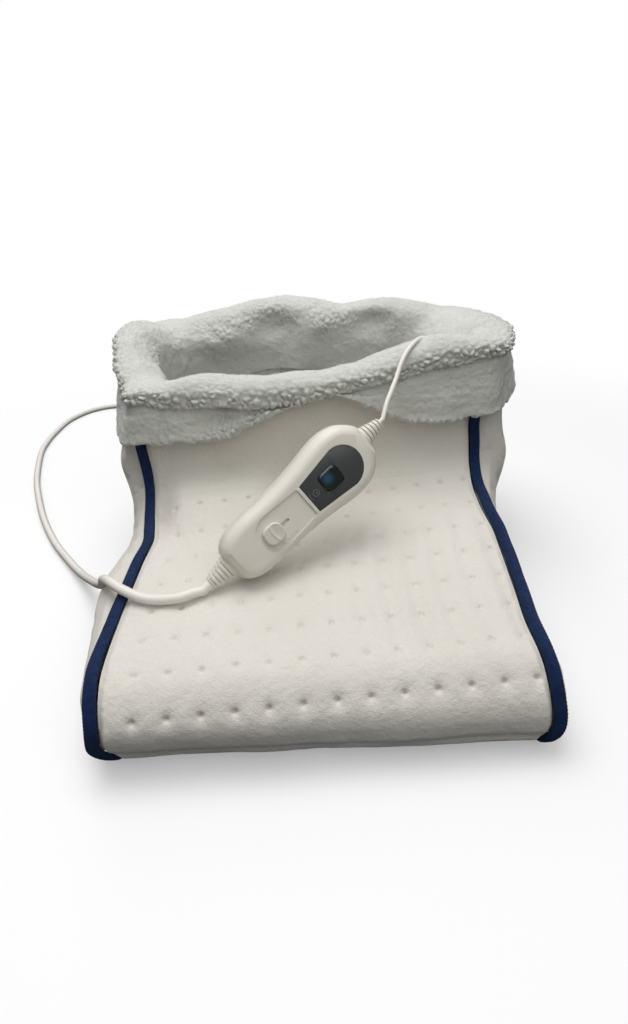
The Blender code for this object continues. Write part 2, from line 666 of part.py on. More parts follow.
# Footbed
def box(name, size, place, look, corner=0.0):
    """A block with its underside at the given place, its upright edges bevelled."""
    x, y, z = size
    outline = [(-x / 2, -y / 2), (x / 2, -y / 2), (x / 2, y / 2), (-x / 2, y / 2)]
    if corner:
        outline = rounded(x, y, corner)
    made = add_object(name, *prism(outline, 0, z), look)
    made.location = place
    return made


def rounded(x, y, corner, steps=3):
    """A rectangle outline with round corners."""
    out = []
    for k, (sx, sy) in enumerate(((1, 1), (-1, 1), (-1, -1), (1, -1))):
        for step in range(steps + 1):
            turn = math.pi / 2 * (k + step / steps)
            out.append((sx * (x / 2 - corner) + corner * math.cos(turn),
                        sy * (y / 2 - corner) + corner * math.sin(turn)))
    return out


def footbed(felt, wire_look, block_look):
    """Felt with the heating wire, its two cut-outs and the junction, under the wadding."""
    bed_length = HEEL_Y - TOE_Y - 4 * BED_MARGIN
    middle = (HEEL_Y + TOE_Y) / 2
    width = 2 * (HALF_PANEL - BED_MARGIN)
    box("heater_felt", (width, bed_length, CARRIER), (0, middle, SHELL + GAP), felt, BED_MARGIN)
    floor = SHELL + CARRIER + 2 * GAP
    box("wadding", (width, bed_length, WADDING), (0, middle, floor + WIRE_LAYER + GAP), felt, BED_MARGIN)
    field = width - 2 * WIRE_MARGIN_X
    pitch = field / (WIRE_PASSES - 1)
    half = bed_length / 2 - WIRE_MARGIN_Y - pitch / 2
    points = []
    for k in range(WIRE_PASSES):
        x = -field / 2 + pitch * k
        way = 1 if k % 2 == 0 else -1
        points.append((x, middle - way * half, floor + WIRE_DIAMETER / 2))
        points.append((x, middle, floor + WIRE_DIAMETER / 2))
        points.append((x, middle + way * half, floor + WIRE_DIAMETER / 2))
        if k < WIRE_PASSES - 1:
            for step in (1, 2, 3):
                turn = math.pi * step / 4
                points.append((x + pitch / 2 * (1 - math.cos(turn)),
                               middle + way * (half + pitch / 2 * math.sin(turn)),
                               floor + WIRE_DIAMETER / 2))
    tube("heating_wire", points, WIRE_DIAMETER, wire_look, 1)
    back = middle + bed_length / 2
    for word, step in CUTOUT_STEPS.items():
        place = (-field / 2 + pitch * step, back - CUTOUT_INSET, floor)
        box(f"thermal_cutout_{word}", CUTOUT_SIZE, place, block_look, CUTOUT_SIZE[0] / 4)
    place = (width / 2 - JUNCTION_SIDE, back - JUNCTION_INSET, floor)
    box("wire_junction", JUNCTION_SIZE, place, block_look, JUNCTION_SIZE[1] / 6)


# Controller
def body_outline():
    """The controller seen from above: a waisted drop, wider towards the thin lead."""
    half = [(u * CONTROLLER_LENGTH / 2, v * CONTROLLER_WIDTH / 2) for u, v in BODY_OUTLINE_SHARES]
    upper = smooth_route(half, 2)[:, :2]
    lower = [(u, -v) for u, v in upper[::-1]]
    return [tuple(p) for p in upper[::-1]] + [tuple(p) for p in lower[::-1]]


def drawn_in(outline, distance):
    """An outline moved inwards along its normals."""
    ring = np.array(outline)
    ways = np.roll(ring, -1, 0) - np.roll(ring, 1, 0)
    ways /= np.linalg.norm(ways, axis=1)[:, None]
    inward = np.stack([-ways[:, 1], ways[:, 0]], axis=1)
    return [tuple(p) for p in ring + inward * distance]


def housing_half(name, height, edge, look):
    """A hollow moulded half with a rounded edge, open at the parting plane."""
    outline = body_outline()
    side = height * STRAIGHT_SIDE_SHARE
    way = 1 if height > 0 else -1
    lift = GAP / 2 * way
    rings = [[(u, v, lift) for u, v in outline], [(u, v, side) for u, v in outline]]
    for turn in (30, 60, 90):
        angle = math.radians(turn)
        inset = edge * (1 - math.cos(angle))
        level = side + (height - side) * math.sin(angle)
        rings.append([(u, v, level) for u, v in drawn_in(outline, inset)])
    inner = drawn_in(outline, SHELL_WALL)
    roof = height - SHELL_WALL * way
    shoulder = drawn_in(outline, SHELL_WALL + edge / 2)
    hollow = [[(u, v, roof) for u, v in drawn_in(outline, SHELL_WALL + edge)],
              [(u, v, side + (roof - side) * HOLLOW_SHOULDER_SHARE) for u, v in shoulder],
              [(u, v, side) for u, v in inner],
              [(u, v, lift) for u, v in inner]]
    count = len(outline)
    points = [p for ring in rings + hollow for p in ring]
    faces = []

    def bridge(a, b):
        for i in range(count):
            j = (i + 1) % count
            faces.append((a * count + i, a * count + j, b * count + j, b * count + i))

    total = len(rings) + len(hollow)
    for r in range(len(rings) - 1):
        bridge(r, r + 1)
    for r in range(len(rings), total - 1):
        bridge(r, r + 1)
    bridge(total - 1, 0)
    faces.append(tuple((len(rings) - 1) * count + i for i in range(count)))
    faces.append(tuple(len(rings) * count + i for i in range(count)))
    return add_object(name, points, faces, look)


def window_outline(shrink=0.0):
    """Straight at the switch field, round at the display end."""
    start, end, half = WINDOW_START_U + shrink, WINDOW_END_U - shrink, WINDOW_HALF - shrink
    radius = half
    out = [(start, -(EDGE_HALF - shrink)), ]
    for step in range(13):
        turn = -math.pi / 2 + math.pi * step / 12
        out.append((end - radius + radius * math.cos(turn), half * math.sin(turn)))
    out.append((start, EDGE_HALF - shrink))
    return out


def field_outline(shrink=0.0):
    """The switch field: straight at the window, round at the other end."""
    start, end = FIELD_START_U + shrink, WINDOW_START_U - SHELL_WALL / 2 - shrink
    half = FIELD_HALF - shrink
    out = [(end, EDGE_HALF - shrink)]
    for step in range(13):
        turn = math.pi / 2 + math.pi * step / 12
        out.append((start + half + half * math.cos(turn), half * math.sin(turn)))
    out.append((end, -(EDGE_HALF - shrink)))
    return out


def stadium(length, width, steps=6):
    """A slot outline with round ends."""
    out = []
    for way in (1, -1):
        for step in range(steps + 1):
            turn = -math.pi / 2 + math.pi * step / steps
            out.append((way * ((length - width) / 2 + width / 2 * math.cos(turn)),
                        way * width / 2 * math.sin(turn)))
    return out


def circle(radius, sides=12):
    """A round outline."""
    return [(radius * math.cos(2 * math.pi * k / sides), radius * math.sin(2 * math.pi * k / sides))
            for k in range(sides)]


def cut_prism(target, outline, bottom, top, look, place=(0, 0, 0), operation="DIFFERENCE"):
    tool = add_object("tool", *prism(outline, bottom, top), look)
    tool.location = place
    combine(target, tool, operation)


def relief(name, way, half, cord_radius, look):
    """A tapered, grooved sleeve with a neck through the end wall and a flange inside."""
    wall = CONTROLLER_LENGTH / 2
    flange = NECK_RADIUS * FLANGE_SHARE
    inside = wall - SHELL_WALL - RELIEF_NECK
    stations = [(inside - RELIEF_FLANGE, flange, flange),
                (inside, flange, flange),
                (inside, NECK_RADIUS, NECK_RADIUS),
                (wall + GAP, NECK_RADIUS, NECK_RADIUS),
                (wall + GAP, *half)]
    pitch = RELIEF_LENGTH / (RELIEF_GROOVES + 1)
    tip = cord_radius + SHELL_WALL / 2
    for k in range(1, RELIEF_GROOVES + 1):
        share = k / (RELIEF_GROOVES + 1)
        wide = half[0] + (tip - half[0]) * share
        thick = half[1] + (tip - half[1]) * share
        place = wall + pitch * k
        stations += [(place - pitch / 5, wide, thick),
                     (place - pitch / 8, wide - GROOVE_DEPTH, thick - GROOVE_DEPTH),
                     (place + pitch / 8, wide - GROOVE_DEPTH, thick - GROOVE_DEPTH),
                     (place + pitch / 5, wide, thick)]
    stations.append((wall + RELIEF_LENGTH, tip, tip))
    rings = []
    for place, wide, thick in stations:
        rings.append([(way * place, wide * math.cos(math.pi * k / 6), thick * math.sin(math.pi * k / 6))
                      for k in range(12)])
    return add_object(name, *loft(rings), look)


def controller(white, dark, black, copper, metal, green):
    """All pieces of the inline switch, on an empty at its place on the boot."""
    top = housing_half("controller_top", TOP_HEIGHT, EDGE_ROUND, white)
    base = housing_half("controller_base", -BASE_HEIGHT, BASE_ROUND, white)
    over = SHELL_WALL
    cut_prism(top, window_outline(), TOP_HEIGHT - WINDOW_THICKNESS, TOP_HEIGHT + over, white)
    cut_prism(top, field_outline(), TOP_HEIGHT - FIELD_DEPTH, TOP_HEIGHT + over, white)
    low, high = TOP_HEIGHT - 2 * over, TOP_HEIGHT + over
    cut_prism(top, rounded(*DISPLAY_SIZE, DISPLAY_CORNER), low, high, white, (DISPLAY_U, 0, 0))
    slot = (STEM_SIZE[0] + KNOB_TRAVEL + 2 * GAP, STEM_SIZE[1] + 2 * GAP)
    slot_outline = [(-slot[0] / 2, -slot[1] / 2), (slot[0] / 2, -slot[1] / 2),
                    (slot[0] / 2, slot[1] / 2), (-slot[0] / 2, slot[1] / 2)]
    cut_prism(top, slot_outline, low, high, white, (KNOB_REST_U + KNOB_TRAVEL / 2, 0, 0))
    neck = circle(NECK_RADIUS + GAP)
    for shell in (top, base):
        for way in (1, -1):
            tool = add_object("tool", *loft([
                [(way * (CONTROLLER_LENGTH / 2 - SHELL_WALL - RELIEF_NECK), a, b) for a, b in neck],
                [(way * (CONTROLLER_LENGTH / 2 + over), a, b) for a, b in neck]]), white)
            combine(shell, tool, "DIFFERENCE")
    boss = SCREW_RADIUS + GAP + BOSS_WALL
    for u, v in SCREW_PLACES:
        for shell, radius, bottom, top_end, operation in (
                (base, boss + SCREW_HEAD_RADIUS - SCREW_RADIUS, -BASE_HEIGHT + over / 2, -GAP, "UNION"),
                (top, boss, GAP, TOP_HEIGHT - over / 2, "UNION"),
                (base, SCREW_RADIUS + 2 * GAP, -BASE_HEIGHT - over, low, "DIFFERENCE"),
                (top, SCREW_RADIUS + 2 * GAP, -over, low, "DIFFERENCE"),
                (base, SCREW_HEAD_RADIUS + 2 * GAP, -BASE_HEIGHT - over,
                 -BASE_HEIGHT + SCREW_HEAD + over, "DIFFERENCE")):
            cut_prism(shell, circle(radius), bottom, top_end, white, (u, v, 0), operation)

    seat = TOP_HEIGHT - WINDOW_THICKNESS + GAP
    window = add_object("display_window", *prism(window_outline(2 * GAP), seat, TOP_HEIGHT), dark)
    cut_prism(window, rounded(*DISPLAY_SIZE, DISPLAY_CORNER), 0, TOP_HEIGHT + over, dark, (DISPLAY_U, 0, 0))
    board_top = BOARD_W + BOARD_SIZE[2]
    display_base = board_top + GAP
    display = add_object("display", *prism(
        rounded(DISPLAY_SIZE[0] - 2 * GAP, DISPLAY_SIZE[1] - 2 * GAP, DISPLAY_CORNER),
        display_base, TOP_HEIGHT - DISPLAY_RECESS), black)
    display.location = (DISPLAY_U, 0, 0)

    field_level = TOP_HEIGHT - FIELD_DEPTH
    rings = []
    for height_share, edge_share in KNOB_EDGE_SHARES:
        shrink = 2 * KNOB_EDGE * edge_share
        rings.append([(u, v, field_level + GAP + KNOB_HEIGHT * height_share)
                      for u, v in stadium(KNOB_LENGTH - shrink, KNOB_WIDTH - shrink)])
    knob = add_object("slide_knob", *loft(rings), white)
    knob.location = (KNOB_REST_U, 0, 0)
    ridge = [(-KNOB_RIDGE / 2, -KNOB_WIDTH / 3), (KNOB_RIDGE / 2, -KNOB_WIDTH / 3),
             (KNOB_RIDGE / 2, KNOB_WIDTH / 3), (-KNOB_RIDGE / 2, KNOB_WIDTH / 3)]
    knob_top = field_level + GAP + KNOB_HEIGHT
    cut_prism(knob, ridge, knob_top - KNOB_RIDGE, knob_top + KNOB_RIDGE, white, (KNOB_REST_U, 0, 0), "UNION")
    stem = [(-STEM_SIZE[0] / 2, -STEM_SIZE[1] / 2), (STEM_SIZE[0] / 2, -STEM_SIZE[1] / 2),
            (STEM_SIZE[0] / 2, STEM_SIZE[1] / 2), (-STEM_SIZE[0] / 2, STEM_SIZE[1] / 2)]
    stem_low = TOP_HEIGHT - SHELL_WALL - CONTACT_SIZE[2] / 2
    cut_prism(knob, stem, stem_low, field_level + KNOB_HEIGHT / 2, white, (KNOB_REST_U, 0, 0), "UNION")

    contact_top = TOP_HEIGHT - SHELL_WALL - GAP
    contact = box("slide_contact", CONTACT_SIZE, (KNOB_REST_U, 0, contact_top - CONTACT_SIZE[2]), copper)
    socket = [(u * (1 + 2 * GAP / STEM_SIZE[0]), v * (1 + 2 * GAP / STEM_SIZE[1])) for u, v in stem]
    cut_prism(contact, socket, stem_low - GAP, contact_top + over, copper, (KNOB_REST_U, 0, 0))
    rail_height = contact_top - CONTACT_SIZE[2] - GAP - (board_top + GAP)
    rail = (CONTACT_SIZE[0] + KNOB_TRAVEL, CONTACT_SIZE[1], rail_height)
    rail_place = (KNOB_REST_U + KNOB_TRAVEL / 2, 0, board_top + GAP)
    contact_bank = box("contact_bank", rail, rail_place, black)

    board = box("circuit_board", BOARD_SIZE, (0, 0, BOARD_W), green, BOSS_WALL)
    fuse = add_object("fuse", *loft([[(u, a, b) for a, b in circle(FUSE_SIZE[1] / 2)]
                                     for u in (-FUSE_SIZE[0] / 2, FUSE_SIZE[0] / 2)]), metal)
    fuse.location = (*FUSE_PLACE, board_top + GAP + FUSE_SIZE[1] / 2)
    capacitor = box("film_capacitor", CAPACITOR_SIZE, (*CAPACITOR_PLACE, board_top + GAP), copper, BOSS_WALL)
    triac = box("triac", TRIAC_SIZE, (*TRIAC_PLACE, board_top + GAP), black)
    screws = []
    for number, (u, v) in enumerate(SCREW_PLACES, 1):
        low = -BASE_HEIGHT + GAP
        profile = [(low, SCREW_HEAD_RADIUS), (low + SCREW_HEAD, SCREW_HEAD_RADIUS),
                   (low + SCREW_HEAD, SCREW_RADIUS), (low + SCREW_LENGTH, SCREW_RADIUS),
                   (low + SCREW_LENGTH + SCREW_RADIUS, SCREW_RADIUS / 3)]
        rings = [[(a, b, w) for a, b in circle(r, 8)] for w, r in profile]
        screw = add_object(f"case_screw_{number}", *loft(rings), metal)
        screw.location = (u, v, 0)
        screws.append(screw)
    sleeves = [relief("mains_relief", -1, MAINS_RELIEF_HALF, MAINS_DIAMETER / 2, white),
               relief("lead_relief", 1, LEAD_RELIEF_HALF, LEAD_DIAMETER / 2, white)]

    place = controller_frame()
    for piece in (top, base, window, display, knob, contact, contact_bank, board, fuse, capacitor, triac,
                  *screws, *sleeves):
        piece.matrix_world = place @ Matrix.Translation(piece.location)


def controller_frame():
    """Position of the controller: its long axis between its two ends, its face turned up."""
    start, end = Vector(CONTROLLER_MAINS_END), Vector(CONTROLLER_LEAD_END)
    along = (end - start).normalized()
    level = along.cross(UP).normalized()
    upright = level.cross(along)
    tip = math.radians(CONTROLLER_TIP)
    face = upright * math.sin(tip) + level * math.cos(tip)
    across = face.cross(along)
    turn = Matrix((along, across, face)).transposed().to_4x4()
    return Matrix.Translation((start + end) / 2) @ turn


# Leads, coil and plug
def coil_points():
    """Two flat spirals, one on the other: in at the floor, up over half a turn, out on top."""
    full = 2 * math.pi
    steps = 24 * COIL_TURNS
    middle = COIL_TURNS / 2
    start = COIL_RADIUS + COIL_SPACING * middle / 2
    points = []
    for k in range(steps + 1):
        turn = COIL_TURNS * k / steps
        climb = min(1.0, max(0.0, 2 * (turn - middle) + 0.5))
        radius = start - COIL_SPACING * (middle - abs(turn - middle))
        level = COIL_SPACING * climb * climb * (3 - 2 * climb)
        angle = math.pi + full * turn
        points.append((COIL_CENTRE[0] + radius * math.cos(angle), COIL_CENTRE[1] + radius * math.sin(angle),
                       COIL_LIFT + MAINS_DIAMETER / 2 + level))
    points.insert(0, (points[0][0], points[0][1] + MAINS_DIAMETER, points[0][2]))
    points.append((points[-1][0], points[-1][1] - MAINS_DIAMETER, points[-1][2]))
    return points


def coil_gap(points):
    """The least clearance between turns, over points that are over a quarter turn apart."""
    spots = np.array(points)
    apart = np.linalg.norm(spots[:, None] - spots[None], axis=2)
    far = np.abs(np.subtract.outer(np.arange(len(spots)), np.arange(len(spots)))) > 6
    return apart[far].min() - MAINS_DIAMETER


def coil_tie(points, look):
    """A strap once round the bundle of turns."""
    spots = np.array(points[2:-2])
    turn = math.radians(TIE_TURN)
    axis = np.array([math.cos(turn), math.sin(turn)])
    side = np.array([-math.sin(turn), math.cos(turn)])
    flat = spots[:, :2] - COIL_CENTRE
    near = (np.abs(flat @ side) < TIE_WIDTH) & (flat @ axis > 0)
    reach = MAINS_DIAMETER / 2 + GAP
    low, high = (flat @ axis)[near].min() - reach, (flat @ axis)[near].max() + reach
    bottom, top = spots[near, 2].min() - reach, spots[near, 2].max() + reach
    rings = []
    for grow in (0, TIE_THICKNESS):
        size = (high - low + 2 * grow, top - bottom + 2 * grow)
        rings.append([(a + (low + high) / 2, b + (top + bottom) / 2)
                      for a, b in rounded(*size, MAINS_DIAMETER / 2 + grow)])
    count = len(rings[0])
    points = []
    for across in (-TIE_WIDTH / 2, TIE_WIDTH / 2):
        for ring in rings:
            for a, b in ring:
                x, y = np.array(COIL_CENTRE) + axis * a + side * across
                points.append((x, y, b))
    faces = []
    for a, b in ((0, 1), (1, 3), (3, 2), (2, 0)):
        for i in range(count):
            j = (i + 1) % count
            faces.append((a * count + i, a * count + j, b * count + j, b * count + i))
    return add_object("coil_tie", points, faces, look)


def plug(white, metal):
    """A flat two-pin plug with a moulded neck."""
    place = Matrix.Translation(PLUG_PLACE) @ Matrix.Rotation(math.radians(PLUG_TURN), 4, "Z")
    rings = []
    for x, wide, thick in PLUG_SECTIONS:
        corner = thick * PLUG_CORNER_SHARE
        rings.append([(x, a, b) for a, b in rounded(2 * wide, 2 * thick, corner)])
    body = add_object("plug_body", *loft(rings), white)
    body.matrix_world = place
    face = PLUG_SECTIONS[-1][0] + GAP
    for word, side in SIDES.items():
        rings = []
        for x, share in ((0, 1), (PIN_LENGTH - PIN_DIAMETER / 4, 1), (PIN_LENGTH, PIN_TIP_SHARE)):
            rings.append([(face + x, a, b) for a, b in circle(share * PIN_DIAMETER / 2)])
        pin = add_object(f"plug_pin_{word}", *loft(rings), metal)
        pin.matrix_world = place @ Matrix.Translation((0, -side * PIN_SPACING / 2, 0))
    return place


def led(start, run_in, route, run_out, end, step):
    """Cord points: straight out of one end and into the other, smooth and even between."""
    return [start, *evenly(smooth_route([run_in, *route, run_out], 6), step), end]


def leads(white, grey, metal):
    """The mains lead with its coil and plug, the thin lead to the boot and its hidden tail."""
    place = controller_frame()
    coil = coil_points()
    print("least gap in the coil, mm:", round(coil_gap(coil) * 1000, 2))
    tube("mains_coil", coil, MAINS_DIAMETER, white, 1)
    coil_tie(coil, grey)
    plug_place = plug(white, metal)
    step = CORD_STEP_SHARES["mains"] * MAINS_DIAMETER
    reach = CONTROLLER_LENGTH / 2 + RELIEF_LENGTH + GAP

    def away(spot, distance):
        return (spot[0], spot[1] + distance, spot[2])

    tube("mains_cord", led(place @ Vector((-reach, 0, 0)), place @ Vector((-reach - MAINS_DIAMETER, 0, 0)),
                           MAINS_ROUTE, away(coil[0], GAP + MAINS_DIAMETER), away(coil[0], GAP), step),
         MAINS_DIAMETER, white)
    tube("plug_cord", led(away(coil[-1], -GAP), away(coil[-1], -GAP - MAINS_DIAMETER), PLUG_ROUTE,
                          plug_place @ Vector((-GAP - MAINS_DIAMETER, 0, 0)),
                          plug_place @ Vector((-GAP, 0, 0)), step), MAINS_DIAMETER, white)
    joint = Vector(LEAD_JOINT)
    tube("lead_cord", led(place @ Vector((reach, 0, 0)), place @ Vector((reach + LEAD_DIAMETER, 0, 0)),
                          LEAD_ROUTE, joint - Vector((LEAD_DIAMETER, 0, 0)), joint,
                          CORD_STEP_SHARES["lead"] * LEAD_DIAMETER),
         LEAD_DIAMETER, white)
    start = joint + Vector((GAP, 0, 0))
    hidden = [(x + SWAY * eased(z, LEAN_START, RIM_BACK_Z), y, z) for x, y, z in TAIL_ROUTE]
    tail = led(start, start + Vector((TAIL_DIAMETER / 2, 0, 0)), hidden[:-2], hidden[-2],
               hidden[-1], CORD_STEP_SHARES["tail"] * TAIL_DIAMETER)
    tube("lead_tail", tail, TAIL_DIAMETER, white, 1)


def centre_on_origin():
    """Moves everything sideways until the boot and its controller are centred on X."""
    low, high = math.inf, -math.inf
    for piece in bpy.context.scene.objects:
        if piece.type == "MESH" and not piece.name.startswith(LOOSE_PIECES):
            across = [(piece.matrix_world @ corner.co).x for corner in piece.data.vertices]
            low, high = min(low, *across), max(high, *across)
    middle = (low + high) / 2
    print("moved sideways, mm:", round(-middle * 1000, 3))
    for piece in bpy.context.scene.objects:
        piece.matrix_world = Matrix.Translation((-middle, 0, 0)) @ piece.matrix_world


def build():
    for old in list(bpy.data.objects):
        bpy.data.objects.remove(old)
    quilt = material("quilted_white", (0.78, 0.76, 0.72), 0.9)
    plain = material("plain_white", (0.72, 0.70, 0.66), 0.9)
    pile = material("fleece_white", (0.80, 0.80, 0.78), 1.0)
    blue = material("navy_tape", (0.010, 0.045, 0.16), 0.75)
    felt = material("felt", (0.62, 0.60, 0.55), 0.95)
    wire = material("wire_red", (0.45, 0.08, 0.05), 0.5)
    white = material("moulded_white", (0.74, 0.70, 0.64), 0.4)
    dark = material("smoked_window", (0.05, 0.055, 0.055), 0.25)
    black = material("black_glass", (0.004, 0.006, 0.008), 0.1)
    copper = material("brass", (0.60, 0.42, 0.18), 0.35, 1.0)
    metal = material("plated_steel", (0.60, 0.60, 0.58), 0.3, 1.0)
    green = material("board_green", (0.02, 0.14, 0.06), 0.5)
    cord = material("cord_white", (0.76, 0.72, 0.66), 0.45)
    grey = material("tie_grey", (0.30, 0.30, 0.30), 0.6)

    shell = inset_profile(0, 0)
    boot_panels(shell, quilt, plain)
    seam = inset_profile(BINDING_THICKNESS / 2 + 4 * GAP, BINDING_THICKNESS + 4 * GAP)
    lining = inset_profile(SHELL + LINING_EASE, BED)
    inside = inset_profile(SHELL + FLEECE + 2 * LINING_EASE, BED + FLEECE + LINING_EASE)
    drop = CUFF_INNER_DROP + LINING_DROP
    lining_net = SideNet(inside, drop + LEAD_SLOT, DOT_PITCH_X, DOT_PITCH_S / 2,
                         LINING_BULGE / 2, LINING_BULGE)
    face_x = SEAM_X + (SHELL - BINDING_THICKNESS / 2)
    for word, side in SIDES.items():
        net = SideNet(seam, 0, DOT_PITCH_X / 2, DOT_PITCH_S / 2, RIM_BULGE, GUSSET_BULGE[word])
        binding(f"binding_{word}", side, blue)
        side_panel(f"gusset_{word}", net, side, face_x, SHELL, quilt, True)
        side_panel(f"lining_{word}", lining_net, side, HALF_PANEL - GAP, FLEECE, pile, False)
    band_panel("lining_band", lining, drop, lining.length - drop, FLEECE, pile)
    fleece_cuff(pile)
    footbed(felt, wire, black)
    controller(white, dark, black, copper, metal, green)
    leads(cord, grey, metal)
    bpy.context.view_layer.update()
    centre_on_origin()


build()
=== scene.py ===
# %% [markdown]
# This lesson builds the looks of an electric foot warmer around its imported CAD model.
# The boot is soft cloth, so its panels, side pieces, lining and cuff are all made again here as fine
# meshes that fill the same space. The hard pieces keep their CAD places and get finer shapes and finishes.

# %% Load the frame
import math

import bmesh
import bpy
import numpy as np
from mathutils import Matrix, Vector, noise


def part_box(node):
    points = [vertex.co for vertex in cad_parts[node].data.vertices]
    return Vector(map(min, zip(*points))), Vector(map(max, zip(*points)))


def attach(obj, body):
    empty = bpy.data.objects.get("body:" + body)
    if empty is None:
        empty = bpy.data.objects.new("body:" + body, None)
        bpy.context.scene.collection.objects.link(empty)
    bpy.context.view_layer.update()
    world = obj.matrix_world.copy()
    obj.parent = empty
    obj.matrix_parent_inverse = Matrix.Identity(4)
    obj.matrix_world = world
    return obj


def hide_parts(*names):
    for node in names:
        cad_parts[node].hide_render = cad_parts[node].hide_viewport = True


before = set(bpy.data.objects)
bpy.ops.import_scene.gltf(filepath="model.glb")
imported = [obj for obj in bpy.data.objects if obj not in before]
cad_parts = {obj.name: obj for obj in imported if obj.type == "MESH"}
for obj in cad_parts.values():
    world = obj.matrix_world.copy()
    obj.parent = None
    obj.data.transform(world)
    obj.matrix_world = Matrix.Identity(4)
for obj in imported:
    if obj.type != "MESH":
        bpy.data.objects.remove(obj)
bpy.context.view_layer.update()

# %% [markdown]
# The boot was drawn about the middle of its sole, and the whole part was then moved sideways until
# its widest points, at the cuff, were centred. The sole panel tells how far, so every piece below is
# drawn about the sole and moved by the same amount at the end.

# %% Side shift and names of the bodies
sole_low, sole_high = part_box("sole_panel")
SIDE_SHIFT = (sole_low[0] + sole_high[0]) / 2
BOOT, SWITCH = "boot", "switch_slide"
print("side shift:", round(SIDE_SHIFT, 4))

# %% [markdown]
# The camera stands in front of the toe, a little above the boot, and looks down at thirty degrees.
# Its roll is small but shows in the line of the sole. The lens follows from the image, which is
# 628 by 1024 pixels, and from a focal length of 600 pixels.

# %% Camera
IMAGE_HEIGHT = 1024
FOCAL_PIXELS = 600
SENSOR_HEIGHT = 36.0
CAMERA_PLACE = Vector((-0.0064 + SIDE_SHIFT, -0.384, 0.295))
pitch, yaw, roll = math.radians(30), math.radians(1.45), math.radians(-2.87)
ahead = Vector((math.sin(yaw) * math.cos(pitch), math.cos(yaw) * math.cos(pitch), -math.sin(pitch)))
level = Vector((math.cos(yaw), -math.sin(yaw), 0))
above = level.cross(ahead)
right = level * math.cos(roll) + above * math.sin(roll)
up = above * math.cos(roll) - level * math.sin(roll)
lens = bpy.data.cameras.new("camera")
lens.sensor_fit = "VERTICAL"
lens.sensor_height = SENSOR_HEIGHT
lens.lens = FOCAL_PIXELS * SENSOR_HEIGHT / IMAGE_HEIGHT
lens.clip_start = 0.01
camera = bpy.data.objects.new("camera", lens)
camera.matrix_world = Matrix.Translation(CAMERA_PLACE) @ Matrix((right, up, -ahead)).transposed().to_4x4()
bpy.context.scene.collection.objects.link(camera)
bpy.context.scene.camera = camera
bpy.context.view_layer.update()
print("lens in mm:", round(lens.lens, 2))

# %% [markdown]
# Cords come next. A cord is a curve with a round bevel: its points are listed along the way it
# lies, a Catmull-Rom curve makes them smooth, and points a few millimetres apart keep it round.
# The controller's own frame is needed first, because both leads leave it along its length.

# %% Helpers for routes
def spline(rows, per_span):
    """A Catmull-Rom curve through rows of points, and where each new row lies among the old."""
    padded = np.concatenate([2 * rows[:1] - rows[1:2], rows, 2 * rows[-1:] - rows[-2:-1]])
    out, where = [], []
    for k in range(1, len(padded) - 2):
        p0, p1, p2, p3 = padded[k - 1:k + 3]
        for share in np.linspace(0, 1, per_span[k - 1], endpoint=False):
            where.append(k - 1 + share)
            out.append(0.5 * (2 * p1 + (p2 - p0) * share + (2 * p0 - 5 * p1 + 4 * p2 - p3) * share ** 2
                              + (3 * p1 - p0 - 3 * p2 + p3) * share ** 3))
    return np.array([*out, padded[-2]]), np.array([*where, len(rows) - 1])[:, None]


def smooth_route(points, per_span=8):
    knots = np.array([tuple(p) for p in points], float)
    return spline(knots, [per_span] * len(knots))[0]


def lengths(points):
    """How far along a line each of its points lies."""
    return np.concatenate([[0], np.cumsum(np.linalg.norm(np.diff(points, axis=0), axis=1))])


def evenly(points, step):
    """The same line with points about one step apart."""
    along = lengths(points)
    places = np.linspace(0, along[-1], max(2, round(along[-1] / step) + 1))
    return np.stack([np.interp(places, along, points[:, k]) for k in range(3)], axis=1)


def link(obj):
    bpy.context.scene.collection.objects.link(obj)
    return obj


def owned(piece, body, *nodes):
    """Lets a piece ride on a body and take the place of its CAD nodes."""
    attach(piece, body)
    if nodes:
        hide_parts(*nodes)
    return piece


def dressed(piece, look):
    """Gives a piece one look in place of its own."""
    piece.data.materials.clear()
    piece.data.materials.append(look)


def worked_out(obj):
    """The mesh of an object once its curve or its modifiers are worked out."""
    bpy.context.view_layer.update()
    return bpy.data.meshes.new_from_object(obj.evaluated_get(bpy.context.evaluated_depsgraph_get()))


def meshed(name, line):
    """A curve or a text as a mesh object."""
    holder = link(bpy.data.objects.new(name, line))
    mesh = worked_out(holder)
    bpy.data.objects.remove(holder)
    return link(bpy.data.objects.new(name, mesh))


def cord_tube(name, points, diameter):
    """A round cord along its points, with closed ends."""
    line = bpy.data.curves.new(name, "CURVE")
    line.dimensions = "3D"
    line.bevel_depth = diameter / 2
    line.bevel_resolution = 6
    line.use_fill_caps = True
    strand = line.splines.new("POLY")
    strand.points.add(len(points) - 1)
    for spot, place in zip(strand.points, points):
        spot.co = (*place, 1.0)
    return meshed(name, line)


# %% Frame of the controller
CONTROLLER_LENGTH = 0.121
MAINS_END = Vector((-0.0533 + SIDE_SHIFT, -0.0695, 0.0785))
LEAD_END = Vector((0.0376 + SIDE_SHIFT, -0.0150, 0.1360))
CONTROLLER_TIP = math.radians(26)
RELIEF_LENGTH = 0.016
along = (LEAD_END - MAINS_END).normalized()
sideways = along.cross(Vector((0, 0, 1))).normalized()
upright = sideways.cross(along)
face = upright * math.sin(CONTROLLER_TIP) + sideways * math.cos(CONTROLLER_TIP)
across = face.cross(along)
middle = Matrix.Translation((MAINS_END + LEAD_END) / 2)
CONTROLLER = middle @ Matrix((along, across, face)).transposed().to_4x4()
print("controller face looks to", [round(v, 2) for v in face])

